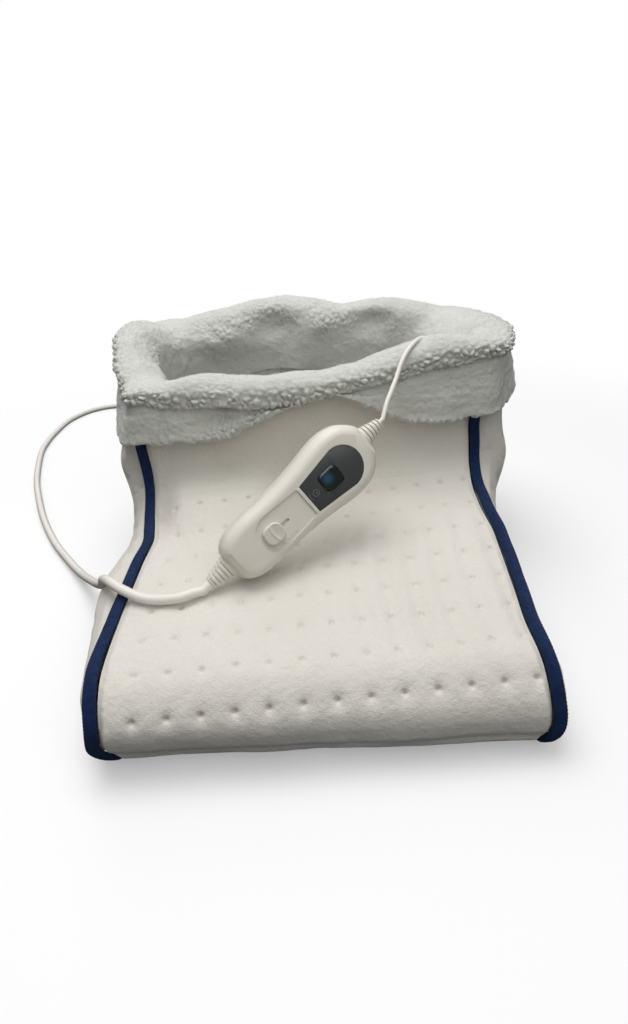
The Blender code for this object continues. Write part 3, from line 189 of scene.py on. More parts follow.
# %% Mains lead, from the controller to its plug
MM = 0.001
MAINS_DIAMETER = 0.0065
GAP = 0.0003
MAINS_ROUTE = [(-77, -83, 68.5), (-87, -86, 67.5), (-106, -83, 66.5), (-122, -76, 70), (-132, -66, 69.5),
               (-142, -50, 60), (-150, -33, 44), (-167, -4, 25), (-192, 33, 9), (-214, 64, 4.2),
               (-236, 96, 3.25), (-260, 139, 3.25), (-280, 183, 3.25), (-300, 234, 3.25), (-319, 302, 3.25),
               (-324, 339, 3.25), (-324, 373, 3.25), (-319, 415, 3.25), (-305, 444, 3.25), (-289, 459, 3.25),
               (-266, 466, 3.25), (-220, 460, 3.25), (-160, 425, 3.25), (-110, 375, 3.25), (-78, 325, 3.25),
               (-64.5, 285, 4.2)]
PLUG_ROUTE = [(-63.5, 218, 9.5), (-56, 201, 5.5), (-40, 189, 3.4), (-14, 186, 3.25)]
COIL_CENTRE = (-0.0200, 0.2450)
COIL_RADIUS, COIL_TURNS, COIL_SPACING, COIL_LIFT = 0.0362, 4, 0.0072, 0.0016
PLUG_PLACE, PLUG_TURN = (0.0315, 0.1965, 0.0070), math.radians(14)
PLUG_NECK = (-0.018, 0, -0.0022)


def coil_points(per_turn):
    """Two flat spirals, one on the other: in at the floor, up over half a turn, out on top."""
    middle = COIL_TURNS / 2
    turn = np.linspace(0, COIL_TURNS, per_turn * COIL_TURNS + 1)
    climb = np.clip(2 * (turn - middle) + 0.5, 0, 1)
    radius = COIL_RADIUS + COIL_SPACING * (middle / 2 - middle + np.abs(turn - middle))
    rise = COIL_SPACING * climb ** 2 * (3 - 2 * climb)
    angle = math.pi + 2 * math.pi * turn
    return np.stack([COIL_CENTRE[0] + radius * np.cos(angle), COIL_CENTRE[1] + radius * np.sin(angle),
                     COIL_LIFT + MAINS_DIAMETER / 2 + rise], axis=1)


def shifted(points):
    """Points drawn about the sole, moved to where the part stands."""
    return np.array(points, float) + (SIDE_SHIFT, 0, 0)


def along_controller(distance):
    """A point on the middle line of the controller, measured from its middle."""
    return CONTROLLER @ Vector((distance, 0, 0))


reach = CONTROLLER_LENGTH / 2 + RELIEF_LENGTH + GAP
coil = shifted(coil_points(36))
lay = np.array([0, MAINS_DIAMETER, 0])
PLUG = Matrix.Translation((PLUG_PLACE[0] + SIDE_SHIFT, *PLUG_PLACE[1:])) @ Matrix.Rotation(PLUG_TURN, 4, "Z")
mains_exit = along_controller(-reach)
first = smooth_route([along_controller(-reach - MAINS_DIAMETER), *shifted(np.array(MAINS_ROUTE) * MM),
                      coil[0] + lay])
last = smooth_route([coil[-1] - lay, *shifted(np.array(PLUG_ROUTE) * MM), PLUG @ Vector(PLUG_NECK),
                     PLUG @ Vector((-GAP - MAINS_DIAMETER, 0, 0))])
mains_points = np.vstack([[tuple(mains_exit)], evenly(first, 0.007), coil, evenly(last, 0.006),
                          [tuple(PLUG @ Vector((-GAP, 0, 0)))]])
mains_lead = cord_tube("mains_lead", mains_points, MAINS_DIAMETER)
owned(mains_lead, BOOT, "mains_cord", "mains_coil", "plug_cord")
print("mains lead in m:", round(lengths(mains_points)[-1], 3))

# %% Thin lead, from the controller into the boot
LEAD_DIAMETER = 0.0032
LEAD_ROUTE = [(56, 1, 153.5), (60, 8, 159), (65, 16.5, 166), (70, 25, 174.5), (77, 34, 181.5), (86, 43, 185),
              (97, 53, 180), (106, 63, 162), (110, 65.5, 150), (114, 64, 142), (118, 60.5, 137.8),
              (125, 58, 136.8), (131, 57, 136.6)]
lead_exit = along_controller(reach)
lead_points = smooth_route([along_controller(reach + LEAD_DIAMETER), *shifted(np.array(LEAD_ROUTE) * MM)])
lead_points = np.vstack([[tuple(lead_exit)], evenly(lead_points, 0.003)])
thin_lead = cord_tube("thin_lead", lead_points, LEAD_DIAMETER)
owned(thin_lead, BOOT, "lead_cord")
print("thin lead in m:", round(lengths(lead_points)[-1], 3))

# %% [markdown]
# The boot's shape is a side profile with rounded corners. Cloth pieces are placed by their length
# along that line, and a last step leans the finished points over, the way the soft boot stands.

# %% Sizes of the boot
SEAM_X = 0.1285
TOE_TOP_Z, BEND_Z, SHAFT_Y = 0.055, 0.076, 0.042
RIM_FRONT_Z, RIM_BACK_Z = 0.158, 0.186
TOE_RADIUS, TOE_SOLE_RADIUS, HEEL_RADIUS, BEND_RADIUS = 0.030, 0.023, 0.026, 0.040
SLUMP, SWAY = 0.007, 0.012
SHELL, FLEECE, BED = 0.004, 0.006, 0.0145
BINDING_WIDTH, BINDING_THICKNESS = 0.0072, 0.0045
GUSSET_BULGE, RIM_BULGE, LINING_BULGE = {"left": 0.025, "right": 0.029}, 0.014, 0.010
CUFF_FLARE = {"left": 0.0045, "right": 0.0075}
CUFF_FLEECE, CUFF_EASE = 0.0075, 0.0032
DOT_PITCH_X, DOT_PITCH_S, DOT_SHIFT = 0.0187, 0.0253, 0.0065
TOE_Y, HEEL_Y, HALF_PANEL = -0.16025, 0.14925, 0.1243
LEAN_START = BED + FLEECE
TOE_SKEW = 0.0045
LEFT_SEAM = [(-125, 2.5), (-108, 1.5), (-71, 0), (-50, 0.5), (-17, 2), (6, 3.5), (33, 5), (59, 8), (94, 3),
             (127, 1), (144, -1), (168, -5.5), (210, 0)]
RIGHT_SEAM = [(-137, 0.5), (-118, -2), (-99, -3.5), (-80, -5), (-59, -5.5), (-33, -3.5), (-3, -2),
              (31, -0.5), (57, -2.5), (105, -2), (138, -2.5), (162, -6), (210, 0)]
TOE_SEAM_Y, HEEL_SEAM_Y, BEND_SEAM_DROP = -0.112, 0.108, 0.082
BOOT_CORNERS = [(SHAFT_Y, RIM_FRONT_Z), (SHAFT_Y, BEND_Z), (TOE_Y, TOE_TOP_Z), (TOE_Y, 0),
                (HEEL_Y, 0), (HEEL_Y, RIM_BACK_Z)]


# %% Shape helpers
def eased(value, start, end):
    """A smooth step from nothing at the start to one at the end."""
    share = np.clip((value - start) / (end - start), 0, 1)
    return share * share * (3 - 2 * share)


def read_line(x, line):
    """Height at x on a line of marks given in millimetres, smoothed a little between them."""
    marks = np.array(line) * MM
    spread = np.linspace(-0.006, 0.006, 5)
    return np.mean([np.interp(x + step, marks[:, 0], marks[:, 1]) for step in spread], axis=0)


def strayed(x, y, z):
    """How far sewn seams stray sideways from straight, read along the top of the boot."""
    stray = np.where(x > 0, read_line(y + z, RIGHT_SEAM), read_line(y + z, LEFT_SEAM))
    return stray * np.clip(np.abs(x) / SEAM_X, 0, 1) * eased(z, 0.010, 0.050)


def settled(points):
    """The lean of the soft boot, the wander of its seams and the tuck of its toe."""
    points = np.asarray(points, float)
    x, y, z = points[..., 0], points[..., 1], points[..., 2]
    lean = eased(y, TOE_Y, SHAFT_Y) * (1 - eased(y, SHAFT_Y, HEEL_Y))
    lean = lean * eased(z, LEAN_START, LEAN_START + TOE_TOP_Z)
    toe = eased(-y, 0.110, 0.155)
    low = toe * (1 - eased(z, 0.004, 0.048))
    tuck = eased(-y, 0.130, 0.158) * (1 - eased(z, 0.0, 0.026)) * np.where(x > 0, 0.050, 0.085)
    return np.stack([x * (1 - tuck) + SWAY * eased(z, LEAN_START, RIM_BACK_Z) + strayed(x, y, z) + SIDE_SHIFT,
                     y - TOE_SKEW * low * (x / SEAM_X + 0.3), z + SLUMP * lean * x / SEAM_X], axis=-1)


def bell(value, middle, width):
    """One at the middle, falling to nothing over about twice the width."""
    return np.exp(-((value - middle) / width) ** 2)


def arch(share):
    """Nothing at both ends and one half way."""
    return 4 * share * (1 - share)


def squarer(value, power):
    """A sine or cosine brought nearer to one by a power below one, with its sign kept."""
    return np.sign(value) * np.abs(value) ** power


def rim_z(y):
    return RIM_FRONT_Z + (RIM_BACK_Z - RIM_FRONT_Z) * (y - SHAFT_Y) / (HEEL_Y - SHAFT_Y)


def noise_places(points, size, seed):
    """Where each point reads the noise: scaled by the size of the lumps, moved by the seed."""
    shift = Vector((7.3 * seed, 3.1 * seed, 5.7 * seed))
    return [Vector(p) + shift for p in (np.asarray(points, float).reshape(-1, 3) / size).tolist()]


def cloudy(points, size, seed):
    """Smooth noise from -1 to 1 at each point, in lumps of about one size."""
    read = np.array([noise.noise(place) for place in noise_places(points, size, seed)])
    return read.reshape(np.shape(points)[:-1])


def nubs(points, size, seed):
    """Round lumps packed side by side: one at the middle of each, nothing in the creases."""
    near = np.array([noise.voronoi(place)[0][:2] for place in noise_places(points, size, seed)])
    crease = np.clip((near[:, 1] - near[:, 0]) * 1.6, 0, 1)
    return (crease * (2 - crease)).reshape(np.shape(points)[:-1])


class Profile:
    """A line in Y and Z with rounded corners, read by the length along it."""

    def __init__(self, corners, radii, fineness=0.0006):
        corners = [np.array(c, float) for c in corners]
        points, marks = [corners[0]], [0]
        for before, corner, after, radius in zip(corners, corners[1:], corners[2:], radii):
            way_in = (before - corner) / np.linalg.norm(before - corner)
            way_out = (after - corner) / np.linalg.norm(after - corner)
            half = math.acos(np.dot(way_in, way_out)) / 2
            middle = (way_in + way_out) / np.linalg.norm(way_in + way_out)
            centre = corner + middle * radius / math.sin(half)
            start = corner + way_in * radius / math.tan(half) - centre
            end = corner + way_out * radius / math.tan(half) - centre
            turn = math.pi - 2 * half
            steps = 2 * max(2, math.ceil(radius * turn / fineness / 2))
            for k in range(steps + 1):
                share = k / steps
                spot = (math.sin((1 - share) * turn) * start + math.sin(share * turn) * end) / math.sin(turn)
                points.append(centre + spot)
                if k == steps // 2:
                    marks.append(len(points) - 1)
        points.append(corners[-1])
        self.points = np.array(points)
        self.along = lengths(self.points)
        self.length = self.along[-1]
        self.marks = [self.along[m] for m in marks] + [self.length]

    def at(self, s):
        return np.stack([np.interp(s, self.along, self.points[:, k]) for k in (0, 1)], axis=-1)

    def outward(self, s, reach=0.0015):
        """Unit normals that point out of the boot."""
        way = self.at(np.minimum(s + reach, self.length)) - self.at(np.maximum(s - reach, 0))
        way /= np.linalg.norm(way, axis=-1)[..., None]
        return np.stack([way[..., 1], -way[..., 0]], axis=-1)

    def where_y(self, y, start, end):
        """The place between two others where the line crosses a given Y."""
        places = np.linspace(start, end, 2000)
        return places[int(np.argmin(np.abs(self.at(places)[:, 0] - y)))]


def inset_profile(side, sole):
    """The boot's profile drawn in by one distance all round and by another at the sole."""
    corners = [np.array(c, float) for c in BOOT_CORNERS]
    lines = []
    for start, end, distance in zip(corners, corners[1:], [side, side, side, sole, side]):
        way = (end - start) / np.linalg.norm(end - start)
        lines.append((start + np.array([-way[1], way[0]]) * distance, way))
    moved = []
    for (p, d), (q, e) in zip(lines, lines[1:]):
        share = ((q - p)[0] * e[1] - (q - p)[1] * e[0]) / (d[0] * e[1] - d[1] * e[0])
        moved.append(p + d * share)
    first = np.array([lines[0][0][0], rim_z(lines[0][0][0])])
    last = np.array([lines[-1][0][0], rim_z(lines[-1][0][0])])
    small = max(side, sole)
    radii = [BEND_RADIUS + side, TOE_RADIUS - side, max(TOE_SOLE_RADIUS - small, side),
             max(HEEL_RADIUS - small, side)]
    return Profile([first, *moved, last], radii)


# %% Mesh helpers
def mesh_piece(name, points, faces, look=None, sharp=None):
    """An object from points and faces, with its faces turned outwards and smooth."""
    mesh = bpy.data.meshes.new(name)
    mesh.from_pydata(np.asarray(points, float).reshape(-1, 3).tolist(), [], faces)
    work = bmesh.new()
    work.from_mesh(mesh)
    bmesh.ops.recalc_face_normals(work, faces=work.faces)
    work.to_mesh(mesh)
    work.free()
    if look:
        mesh.materials.append(look)
    mesh.shade_smooth()
    if sharp:
        mesh.set_sharp_from_angle(angle=math.radians(sharp))
    return link(bpy.data.objects.new(name, mesh))


def loft_faces(rings, count, closed=False):
    """Faces between rings of points; open lofts get an end face at each end."""
    r = np.arange(rings if closed else rings - 1)[:, None]
    i = np.arange(count)[None, :]
    nxt, j = (r + 1) % rings, (i + 1) % count
    quads = np.stack([r * count + i, r * count + j, nxt * count + j, nxt * count + i], axis=-1)
    faces = quads.reshape(-1, 4).tolist()
    if not closed:
        faces += [list(range(count)), [(rings - 1) * count + k for k in range(count)][::-1]]
    return faces


def boolean(target, tool, operation="DIFFERENCE"):
    """Cuts the tool from the target, or joins it on, and drops the tool."""
    change = target.modifiers.new("change", "BOOLEAN")
    change.operation = operation
    change.object = tool
    result = worked_out(target)
    result.name = target.name
    target.modifiers.clear()
    target.data = result
    bpy.data.objects.remove(tool)

# %% [markdown]
# Materials. Cloth is rough and scatters light softly, so a little sheen and a fine bump carry most of
# its look. The same small noise serves all materials, so it lives in a shared node group.

# %% Node helpers
def node(tree, kind, **settings):
    made = tree.nodes.new(f"ShaderNode{kind}")
    for key, value in settings.items():
        setattr(made, key, value)
    return made


def values(made, **sockets):
    for key, value in sockets.items():
        made.inputs[key.replace("_", " ")].default_value = value
    return made


def grain_group():
    """Noise of one size as a value about one half, in the piece's own space."""
    tree = bpy.data.node_groups.new("grain", "ShaderNodeTree")
    for label, value in (("Size", 0.001), ("Detail", 3.0)):
        tree.interface.new_socket(label, in_out="INPUT", socket_type="NodeSocketFloat").default_value = value
    tree.interface.new_socket("Value", in_out="OUTPUT", socket_type="NodeSocketFloat")
    start, end = tree.nodes.new("NodeGroupInput"), tree.nodes.new("NodeGroupOutput")
    shrink = node(tree, "Math", operation="DIVIDE")
    shrink.inputs[0].default_value = 1.0
    tree.links.new(start.outputs["Size"], shrink.inputs[1])
    field = node(tree, "TexNoise")
    tree.links.new(node(tree, "TexCoord").outputs["Object"], field.inputs["Vector"])
    tree.links.new(shrink.outputs[0], field.inputs["Scale"])
    tree.links.new(start.outputs["Detail"], field.inputs["Detail"])
    tree.links.new(field.outputs["Fac"], end.inputs["Value"])
    return tree


GRAIN = grain_group()


def grain(tree, size, detail=3.0):
    return values(node(tree, "Group", node_tree=GRAIN), Size=size, Detail=detail).outputs["Value"]


def mixed(tree, share, first, second):
    """Two colours mixed by a socket."""
    made = node(tree, "Mix", data_type="RGBA")
    tree.links.new(share, made.inputs[0])
    for socket, colour in ((made.inputs[6], first), (made.inputs[7], second)):
        if isinstance(colour, tuple):
            socket.default_value = (*colour, 1)
        else:
            tree.links.new(colour, socket)
    return made.outputs[2]


def ranged(tree, value, **settings):
    """A value spread from one range over another; smooth at its ends if asked for."""
    kind = "SMOOTHSTEP" if settings.pop("smooth", False) else "LINEAR"
    made = values(node(tree, "MapRange", interpolation_type=kind), **settings)
    tree.links.new(value, made.inputs["Value"])
    return made.outputs["Result"]


def bumped(tree, surface, *layers):
    """Bump layers, each a height socket with its depth in metres."""
    before = None
    for height, depth in layers:
        made = values(node(tree, "Bump"), Strength=1.0, Distance=depth)
        tree.links.new(height, made.inputs["Height"])
        if before:
            tree.links.new(before, made.inputs["Normal"])
        before = made.outputs["Normal"]
    tree.links.new(before, surface.inputs["Normal"])


def material(name, **sockets):
    look = bpy.data.materials.new(name)
    look.use_nodes = True
    surface = values(look.node_tree.nodes["Principled BSDF"], **sockets)
    return look, look.node_tree, surface


def toned(name, light, dark, patch, detail=3.0, **sockets):
    """A material whose colour drifts between two tones in patches."""
    look, tree, surface = material(name, **sockets)
    tone = ranged(tree, grain(tree, patch, detail), From_Min=0.3, From_Max=0.7)
    tree.links.new(mixed(tree, tone, dark, light), surface.inputs["Base Color"])
    return look, tree, surface


def cloth_look(name, light, dark, patch, fibre, sheen=0.25):
    """Brushed cloth: soft patches of tone, a fibrous bump and a little sheen."""
    look, tree, surface = toned(name, light, dark, patch, 2.0, Roughness=0.92, Sheen_Weight=sheen,
                                Sheen_Roughness=0.5, Specular_IOR_Level=0.2)
    colour = surface.inputs["Base Color"]
    fine = ranged(tree, grain(tree, fibre * 2, 4.0), From_Min=0.35, From_Max=0.65)
    middle = tuple((a + b) / 2 for a, b in zip(light, dark))
    tree.links.new(mixed(tree, fine, middle, colour.links[0].from_socket), colour)
    bumped(tree, surface, (grain(tree, fibre, 4.0), fibre * 0.6), (grain(tree, fibre * 6, 2.0), fibre))
    return look


def tape_look():
    """Woven bias tape: fine ribs across, deep blue with paler wear."""
    look, tree, surface = toned("navy_tape", (0.008, 0.034, 0.125), (0.004, 0.018, 0.074), 0.004, 4.0,
                                Roughness=0.85, Sheen_Weight=0.06, Specular_IOR_Level=0.12)
    wave = values(node(tree, "TexWave", bands_direction="DIAGONAL"), Scale=1400.0, Distortion=1.5)
    tree.links.new(node(tree, "TexCoord").outputs["Object"], wave.inputs["Vector"])
    bumped(tree, surface, (wave.outputs["Fac"], 0.0002), (grain(tree, 0.0008), 0.0002))
    return look


def hard_look(name, light, dark, patch, wear, smooth, rough, spark, bump, **sockets):
    """Plastic or metal: a faint drift of tone, an uneven polish and a fine spark finish."""
    look, tree, surface = toned(name, light, dark, patch, **sockets)
    polish = ranged(tree, grain(tree, wear, 4.0), To_Min=smooth, To_Max=rough)
    tree.links.new(polish, surface.inputs["Roughness"])
    bumped(tree, surface, (grain(tree, spark, 2.0), bump))
    return look


def plastic_look(name, light, dark, rough, bump=0.00004):
    return hard_look(name, light, dark, 0.03, 0.004, rough - 0.05, rough + 0.08, 0.0004, bump,
                     Coat_Weight=0.05)


def metal_look(name, light, dark, rough):
    return hard_look(name, light, dark, 0.002, 0.0007, rough - 0.08, rough + 0.12, 0.0003, 0.00002,
                     Metallic=1.0)


def display_look():
    """Black glass with a faint blue-green light in its upper part."""
    look, tree, surface = material("display_glass", Roughness=0.10, Coat_Weight=0.3, Emission_Strength=1.0)
    away = node(tree, "VectorMath", operation="DISTANCE")
    away.inputs[1].default_value = CONTROLLER @ Vector((0.0215, 0.0, 0.0133))
    tree.links.new(node(tree, "TexCoord").outputs["Object"], away.inputs[0])
    glow = ranged(tree, away.outputs["Value"], smooth=True, From_Min=0.0055, From_Max=0.0008)
    for socket, dark, lit in (("Base Color", (0.002, 0.003, 0.004), (0.003, 0.022, 0.030)),
                              ("Emission Color", (0.0, 0.0, 0.0), (0.0, 0.030, 0.045))):
        tree.links.new(mixed(tree, glow, dark, lit), surface.inputs[socket])
    bumped(tree, surface, (grain(tree, 0.003, 2.0), 0.00001))
    return look


# %% Looks
quilt_look = cloth_look("quilt", (0.74, 0.71, 0.65), (0.68, 0.648, 0.585), 0.05, 0.0007)
plain_look = cloth_look("plain_cloth", (0.76, 0.735, 0.665), (0.7, 0.675, 0.605), 0.06, 0.0007)
fleece_look = cloth_look("fleece", (0.65, 0.655, 0.608), (0.58, 0.588, 0.544), 0.012, 0.0009, 0.30)
pile_look = cloth_look("pile_fibre", (0.69, 0.694, 0.648), (0.62, 0.626, 0.582), 0.02, 0.0008)
felt_look = cloth_look("felt", (0.6, 0.58, 0.52), (0.48, 0.46, 0.41), 0.01, 0.0005)
navy_look = tape_look()
shell_look = plastic_look("controller_shell", (0.735, 0.7, 0.62), (0.705, 0.67, 0.592), 0.38)
cord_look = plastic_look("cord_skin", (0.8, 0.765, 0.71), (0.77, 0.735, 0.68), 0.42)
window_look = plastic_look("smoked_window", (0.052, 0.056, 0.056), (0.044, 0.048, 0.048), 0.22)
knob_look = plastic_look("switch_cap", (0.69, 0.645, 0.575), (0.665, 0.62, 0.55), 0.42)
number_look = plastic_look("raised_numbers", (0.56, 0.525, 0.47), (0.54, 0.505, 0.45), 0.45)
mark_look = plastic_look("pale_print", (0.19, 0.205, 0.205), (0.16, 0.175, 0.175), 0.5)
tie_look = plastic_look("cord_tie", (0.3, 0.3, 0.3), (0.25, 0.25, 0.25), 0.55, 0.0001)
wire_look = plastic_look("wire_sleeve", (0.45, 0.08, 0.05), (0.4, 0.065, 0.04), 0.5)
board_look = plastic_look("board_resin", (0.02, 0.14, 0.06), (0.015, 0.11, 0.05), 0.45)
capacitor_look = plastic_look("capacitor_case", (0.42, 0.2, 0.04), (0.38, 0.18, 0.035), 0.35)
glass_tube_look = plastic_look("fuse_tube", (0.62, 0.62, 0.6), (0.56, 0.56, 0.54), 0.15)
chip_look = plastic_look("chip_case", (0.02, 0.02, 0.022), (0.014, 0.014, 0.016), 0.4)
brass_look = metal_look("brass", (0.78, 0.6, 0.3), (0.62, 0.45, 0.21), 0.28)
steel_look = metal_look("plated_steel", (0.64, 0.64, 0.62), (0.52, 0.52, 0.51), 0.30)
glass_look = display_look()
print("materials:", len(bpy.data.materials))

# %% [markdown]
# The quilted panels. The cloth is welded in small dots, so it is pulled down sharply at each dot, sinks
# broadly around it and puffs up between. The heights come from the distance to the nearest dot.

# %% Quilted and plain panels
def dot_distance(across, along):
    """Distance to the nearest dot of a grid, from two places in the cloth."""
    return np.hypot(*(place - np.round(place / pitch) * pitch
                      for place, pitch in ((across, DOT_PITCH_X), (along, DOT_PITCH_S))))


def quilted(distance, deep=0.0026, broad=0.0010, puff=0.0008):
    """Height of the quilted face over its base."""
    return puff - deep * bell(distance, 0, 0.0013) - broad * bell(distance, 0, 0.0048)


def strip(profile, start, end, rows, columns):
    """Flat cloth across the boot: places along and across it, its points, and the way out of each row."""
    s = np.linspace(start, end, rows)[:, None]
    x = np.linspace(-HALF_PANEL, HALF_PANEL, columns)[None, :]
    at, out = profile.at(s[:, 0]), profile.outward(s[:, 0], 0.003)
    flat = np.stack(np.broadcast_arrays(x, at[:, :1], at[:, 1:]), axis=-1)
    return s, x, flat, np.concatenate([np.zeros((rows, 1)), out], axis=1)[:, None, :]


def panel(name, node_name, start, end, look, rise, step):
    """A strip of cloth across the boot, its outer face raised by a function of place."""
    s, x, flat, way = strip(shell, start, end, max(3, round((end - start) / step) + 1),
                            round(2 * HALF_PANEL / step) + 1)
    edge = HALF_PANEL - np.abs(x)
    height = rise(x, s, flat) * eased(edge, 0, 0.004) - 0.0016 * (1 - eased(edge, 0, 0.0045))
    height = np.where(way[..., 2] < -0.5, np.minimum(height, 0), height)
    rings = settled(np.concatenate([flat + way * height[..., None], flat[:, ::-6] - way * SHELL], axis=1))
    owned(mesh_piece(name, rings, loft_faces(*rings.shape[:2]), look, 60), BOOT, node_name)


shell = inset_profile(0, 0)
toe_seam = shell.where_y(TOE_SEAM_Y, shell.marks[3], shell.marks[4])
heel_seam = shell.where_y(HEEL_SEAM_Y, shell.marks[3], shell.marks[4])
LAST_ROW, DOT_SKEW, HIDDEN_TOP, SEAM_LAP = 0.2713, 0.040, 0.010, 0.006


def knee(x, s):
    """The left of the bend stands up higher than the right, and both panels follow it."""
    across = eased(-x, 0.010, 0.052) * (1 - eased(-x, 0.100, 0.122))
    return 0.0130 * across * bell(s, 0.094, 0.026) - 0.0004 * bell(s, BEND_SEAM_DROP, 0.012)


def front_rise(x, s, flat):
    """Dots, soft waves, ribs between the columns, and flat folds where the toe turns under."""
    dots = quilted(dot_distance(x - DOT_SHIFT, s - LAST_ROW + DOT_SKEW * x))
    dots = np.where(s < LAST_ROW + DOT_PITCH_S / 2, dots, 0.0008)
    dots = dots * (1 + 0.35 * bell(s, LAST_ROW - DOT_SKEW * x, 0.012))
    waves = 0.0010 * cloudy(flat, 0.045, 1) + 0.0004 * cloudy(flat, 0.016, 2)
    ribs = np.cos(2 * math.pi * (x - DOT_SHIFT + 0.004 * cloudy(flat, 0.07, 15)) / DOT_PITCH_X)
    ribs = -0.00070 * ribs * eased(x, -0.040, 0.050) * eased(s, 0.110, 0.150) * (1 - eased(s, 0.225, 0.262))
    z = flat[..., 2]
    folds = 0.0010 * (1 - eased(z, 0.006, 0.026)) * cloudy(flat * (0.30, 1, 2.4), 0.014, 3)
    crease = -0.0011 * bell(z, 0.0165 + 0.002 * cloudy(flat * (1, 0, 0), 0.05, 16), 0.0035)
    cheek = (0.0022 * bell(z, 0.034, 0.014) + crease) * eased(s, 0.26, 0.28)
    under = -0.0016 * (1 - eased(s, BEND_SEAM_DROP - SEAM_LAP, BEND_SEAM_DROP + SEAM_LAP / 2))
    return dots + waves + ribs + folds + cheek + knee(x, s) + under


def back_rise(x, s, flat):
    dots = quilted(dot_distance(x - DOT_SHIFT, s - heel_seam))
    return dots + 0.0011 * cloudy(flat, 0.045, 4) + 0.0004 * cloudy(flat, 0.016, 5)


def shaft_rise(x, s, flat):
    """Soft hanging waves, and a tuck into the seam at the bend."""
    waves = 0.0014 * cloudy(flat * (1, 1, 0.5), 0.034, 6) + 0.0006 * cloudy(flat, 0.014, 7)
    waves = waves * (1 - 0.8 * eased(s, BEND_SEAM_DROP - 0.030, BEND_SEAM_DROP))
    tuck = -0.0022 * eased(s, BEND_SEAM_DROP - SEAM_LAP / 2, BEND_SEAM_DROP + SEAM_LAP)
    return waves + 0.0004 + knee(x, s) + tuck


def sole_rise(x, s, flat):
    return 0.0003 * cloudy(flat, 0.02, 8) - 0.0003


panel("front_cloth", "front_panel", BEND_SEAM_DROP - SEAM_LAP, toe_seam - GAP, quilt_look, front_rise, 0.0009)
panel("back_cloth", "back_panel", heel_seam, shell.length - HIDDEN_TOP, quilt_look, back_rise, 0.0016)
panel("shaft_cloth", "shaft_panel", 0, BEND_SEAM_DROP + SEAM_LAP, plain_look, shaft_rise, 0.0016)
panel("sole_cloth", "sole_panel", toe_seam, heel_seam - GAP, plain_look, sole_rise, 0.004)
print("panels made")


# %% [markdown]
# The bindings are flat tape folded over the seam. Their cross-section is a rounded bar, and each station
# along the profile may wave a little, so that the tape looks sewn and not extruded.

# %% Bindings
TAPE_STEP, RIB_PITCH, STITCH_PITCH, STITCH_LINE = 0.0011, 0.0022, 0.0030, 0.36


def binding(word, side):
    profile = inset_profile(0, BINDING_THICKNESS / 2)
    s = np.linspace(HIDDEN_TOP, profile.length - HIDDEN_TOP, round(profile.length / TAPE_STEP))
    at, out = profile.at(s), profile.outward(s, 0.004)
    turn = np.linspace(0, 2 * math.pi, 28, endpoint=False)
    wide = squarer(np.cos(turn), 0.45) * BINDING_WIDTH / 2
    high = squarer(np.sin(turn), 0.75) * BINDING_THICKNESS / 2
    spots = np.column_stack([np.full(len(s), side * SEAM_X), at])
    sway = 0.0007 * cloudy(spots, 0.03, 9 + side)
    puff = 1 + 0.10 * cloudy(spots, 0.007, 12 + side)
    notch = 0.00022 * np.cos(2 * math.pi * s / RIB_PITCH)
    stitch = 0.0003 + 0.00035 * np.clip(np.cos(2 * math.pi * s / STITCH_PITCH), -0.2, 1)
    line = bell(np.abs(wide), BINDING_WIDTH * STITCH_LINE, 0.0005) * (high > 0)
    x = spots[:, :1] + sway[:, None] + wide + np.sign(wide) * notch[:, None]
    rise = high * puff[:, None] - line * stitch[:, None]
    rings = np.stack([x, at[:, :1] + out[:, :1] * rise, at[:, 1:] + out[:, 1:] * rise], axis=-1)
    tape = mesh_piece(f"tape_{word}", settled(rings), loft_faces(len(s), len(turn)), navy_look, 50)
    owned(tape, BOOT, f"binding_{word}")


SIDES = (("left", -1), ("right", 1))
for word, side in SIDES:
    binding(word, side)
print("bindings made")


# %% [markdown]
# The side panels are cut from one L-shaped piece of cloth each. A net of cells is stretched over the side
# profile and relaxed, like a soap film, and the bulge is relaxed over the same net, like a filled
# cushion. A coarse net settles fast, so it is solved first and then divided.

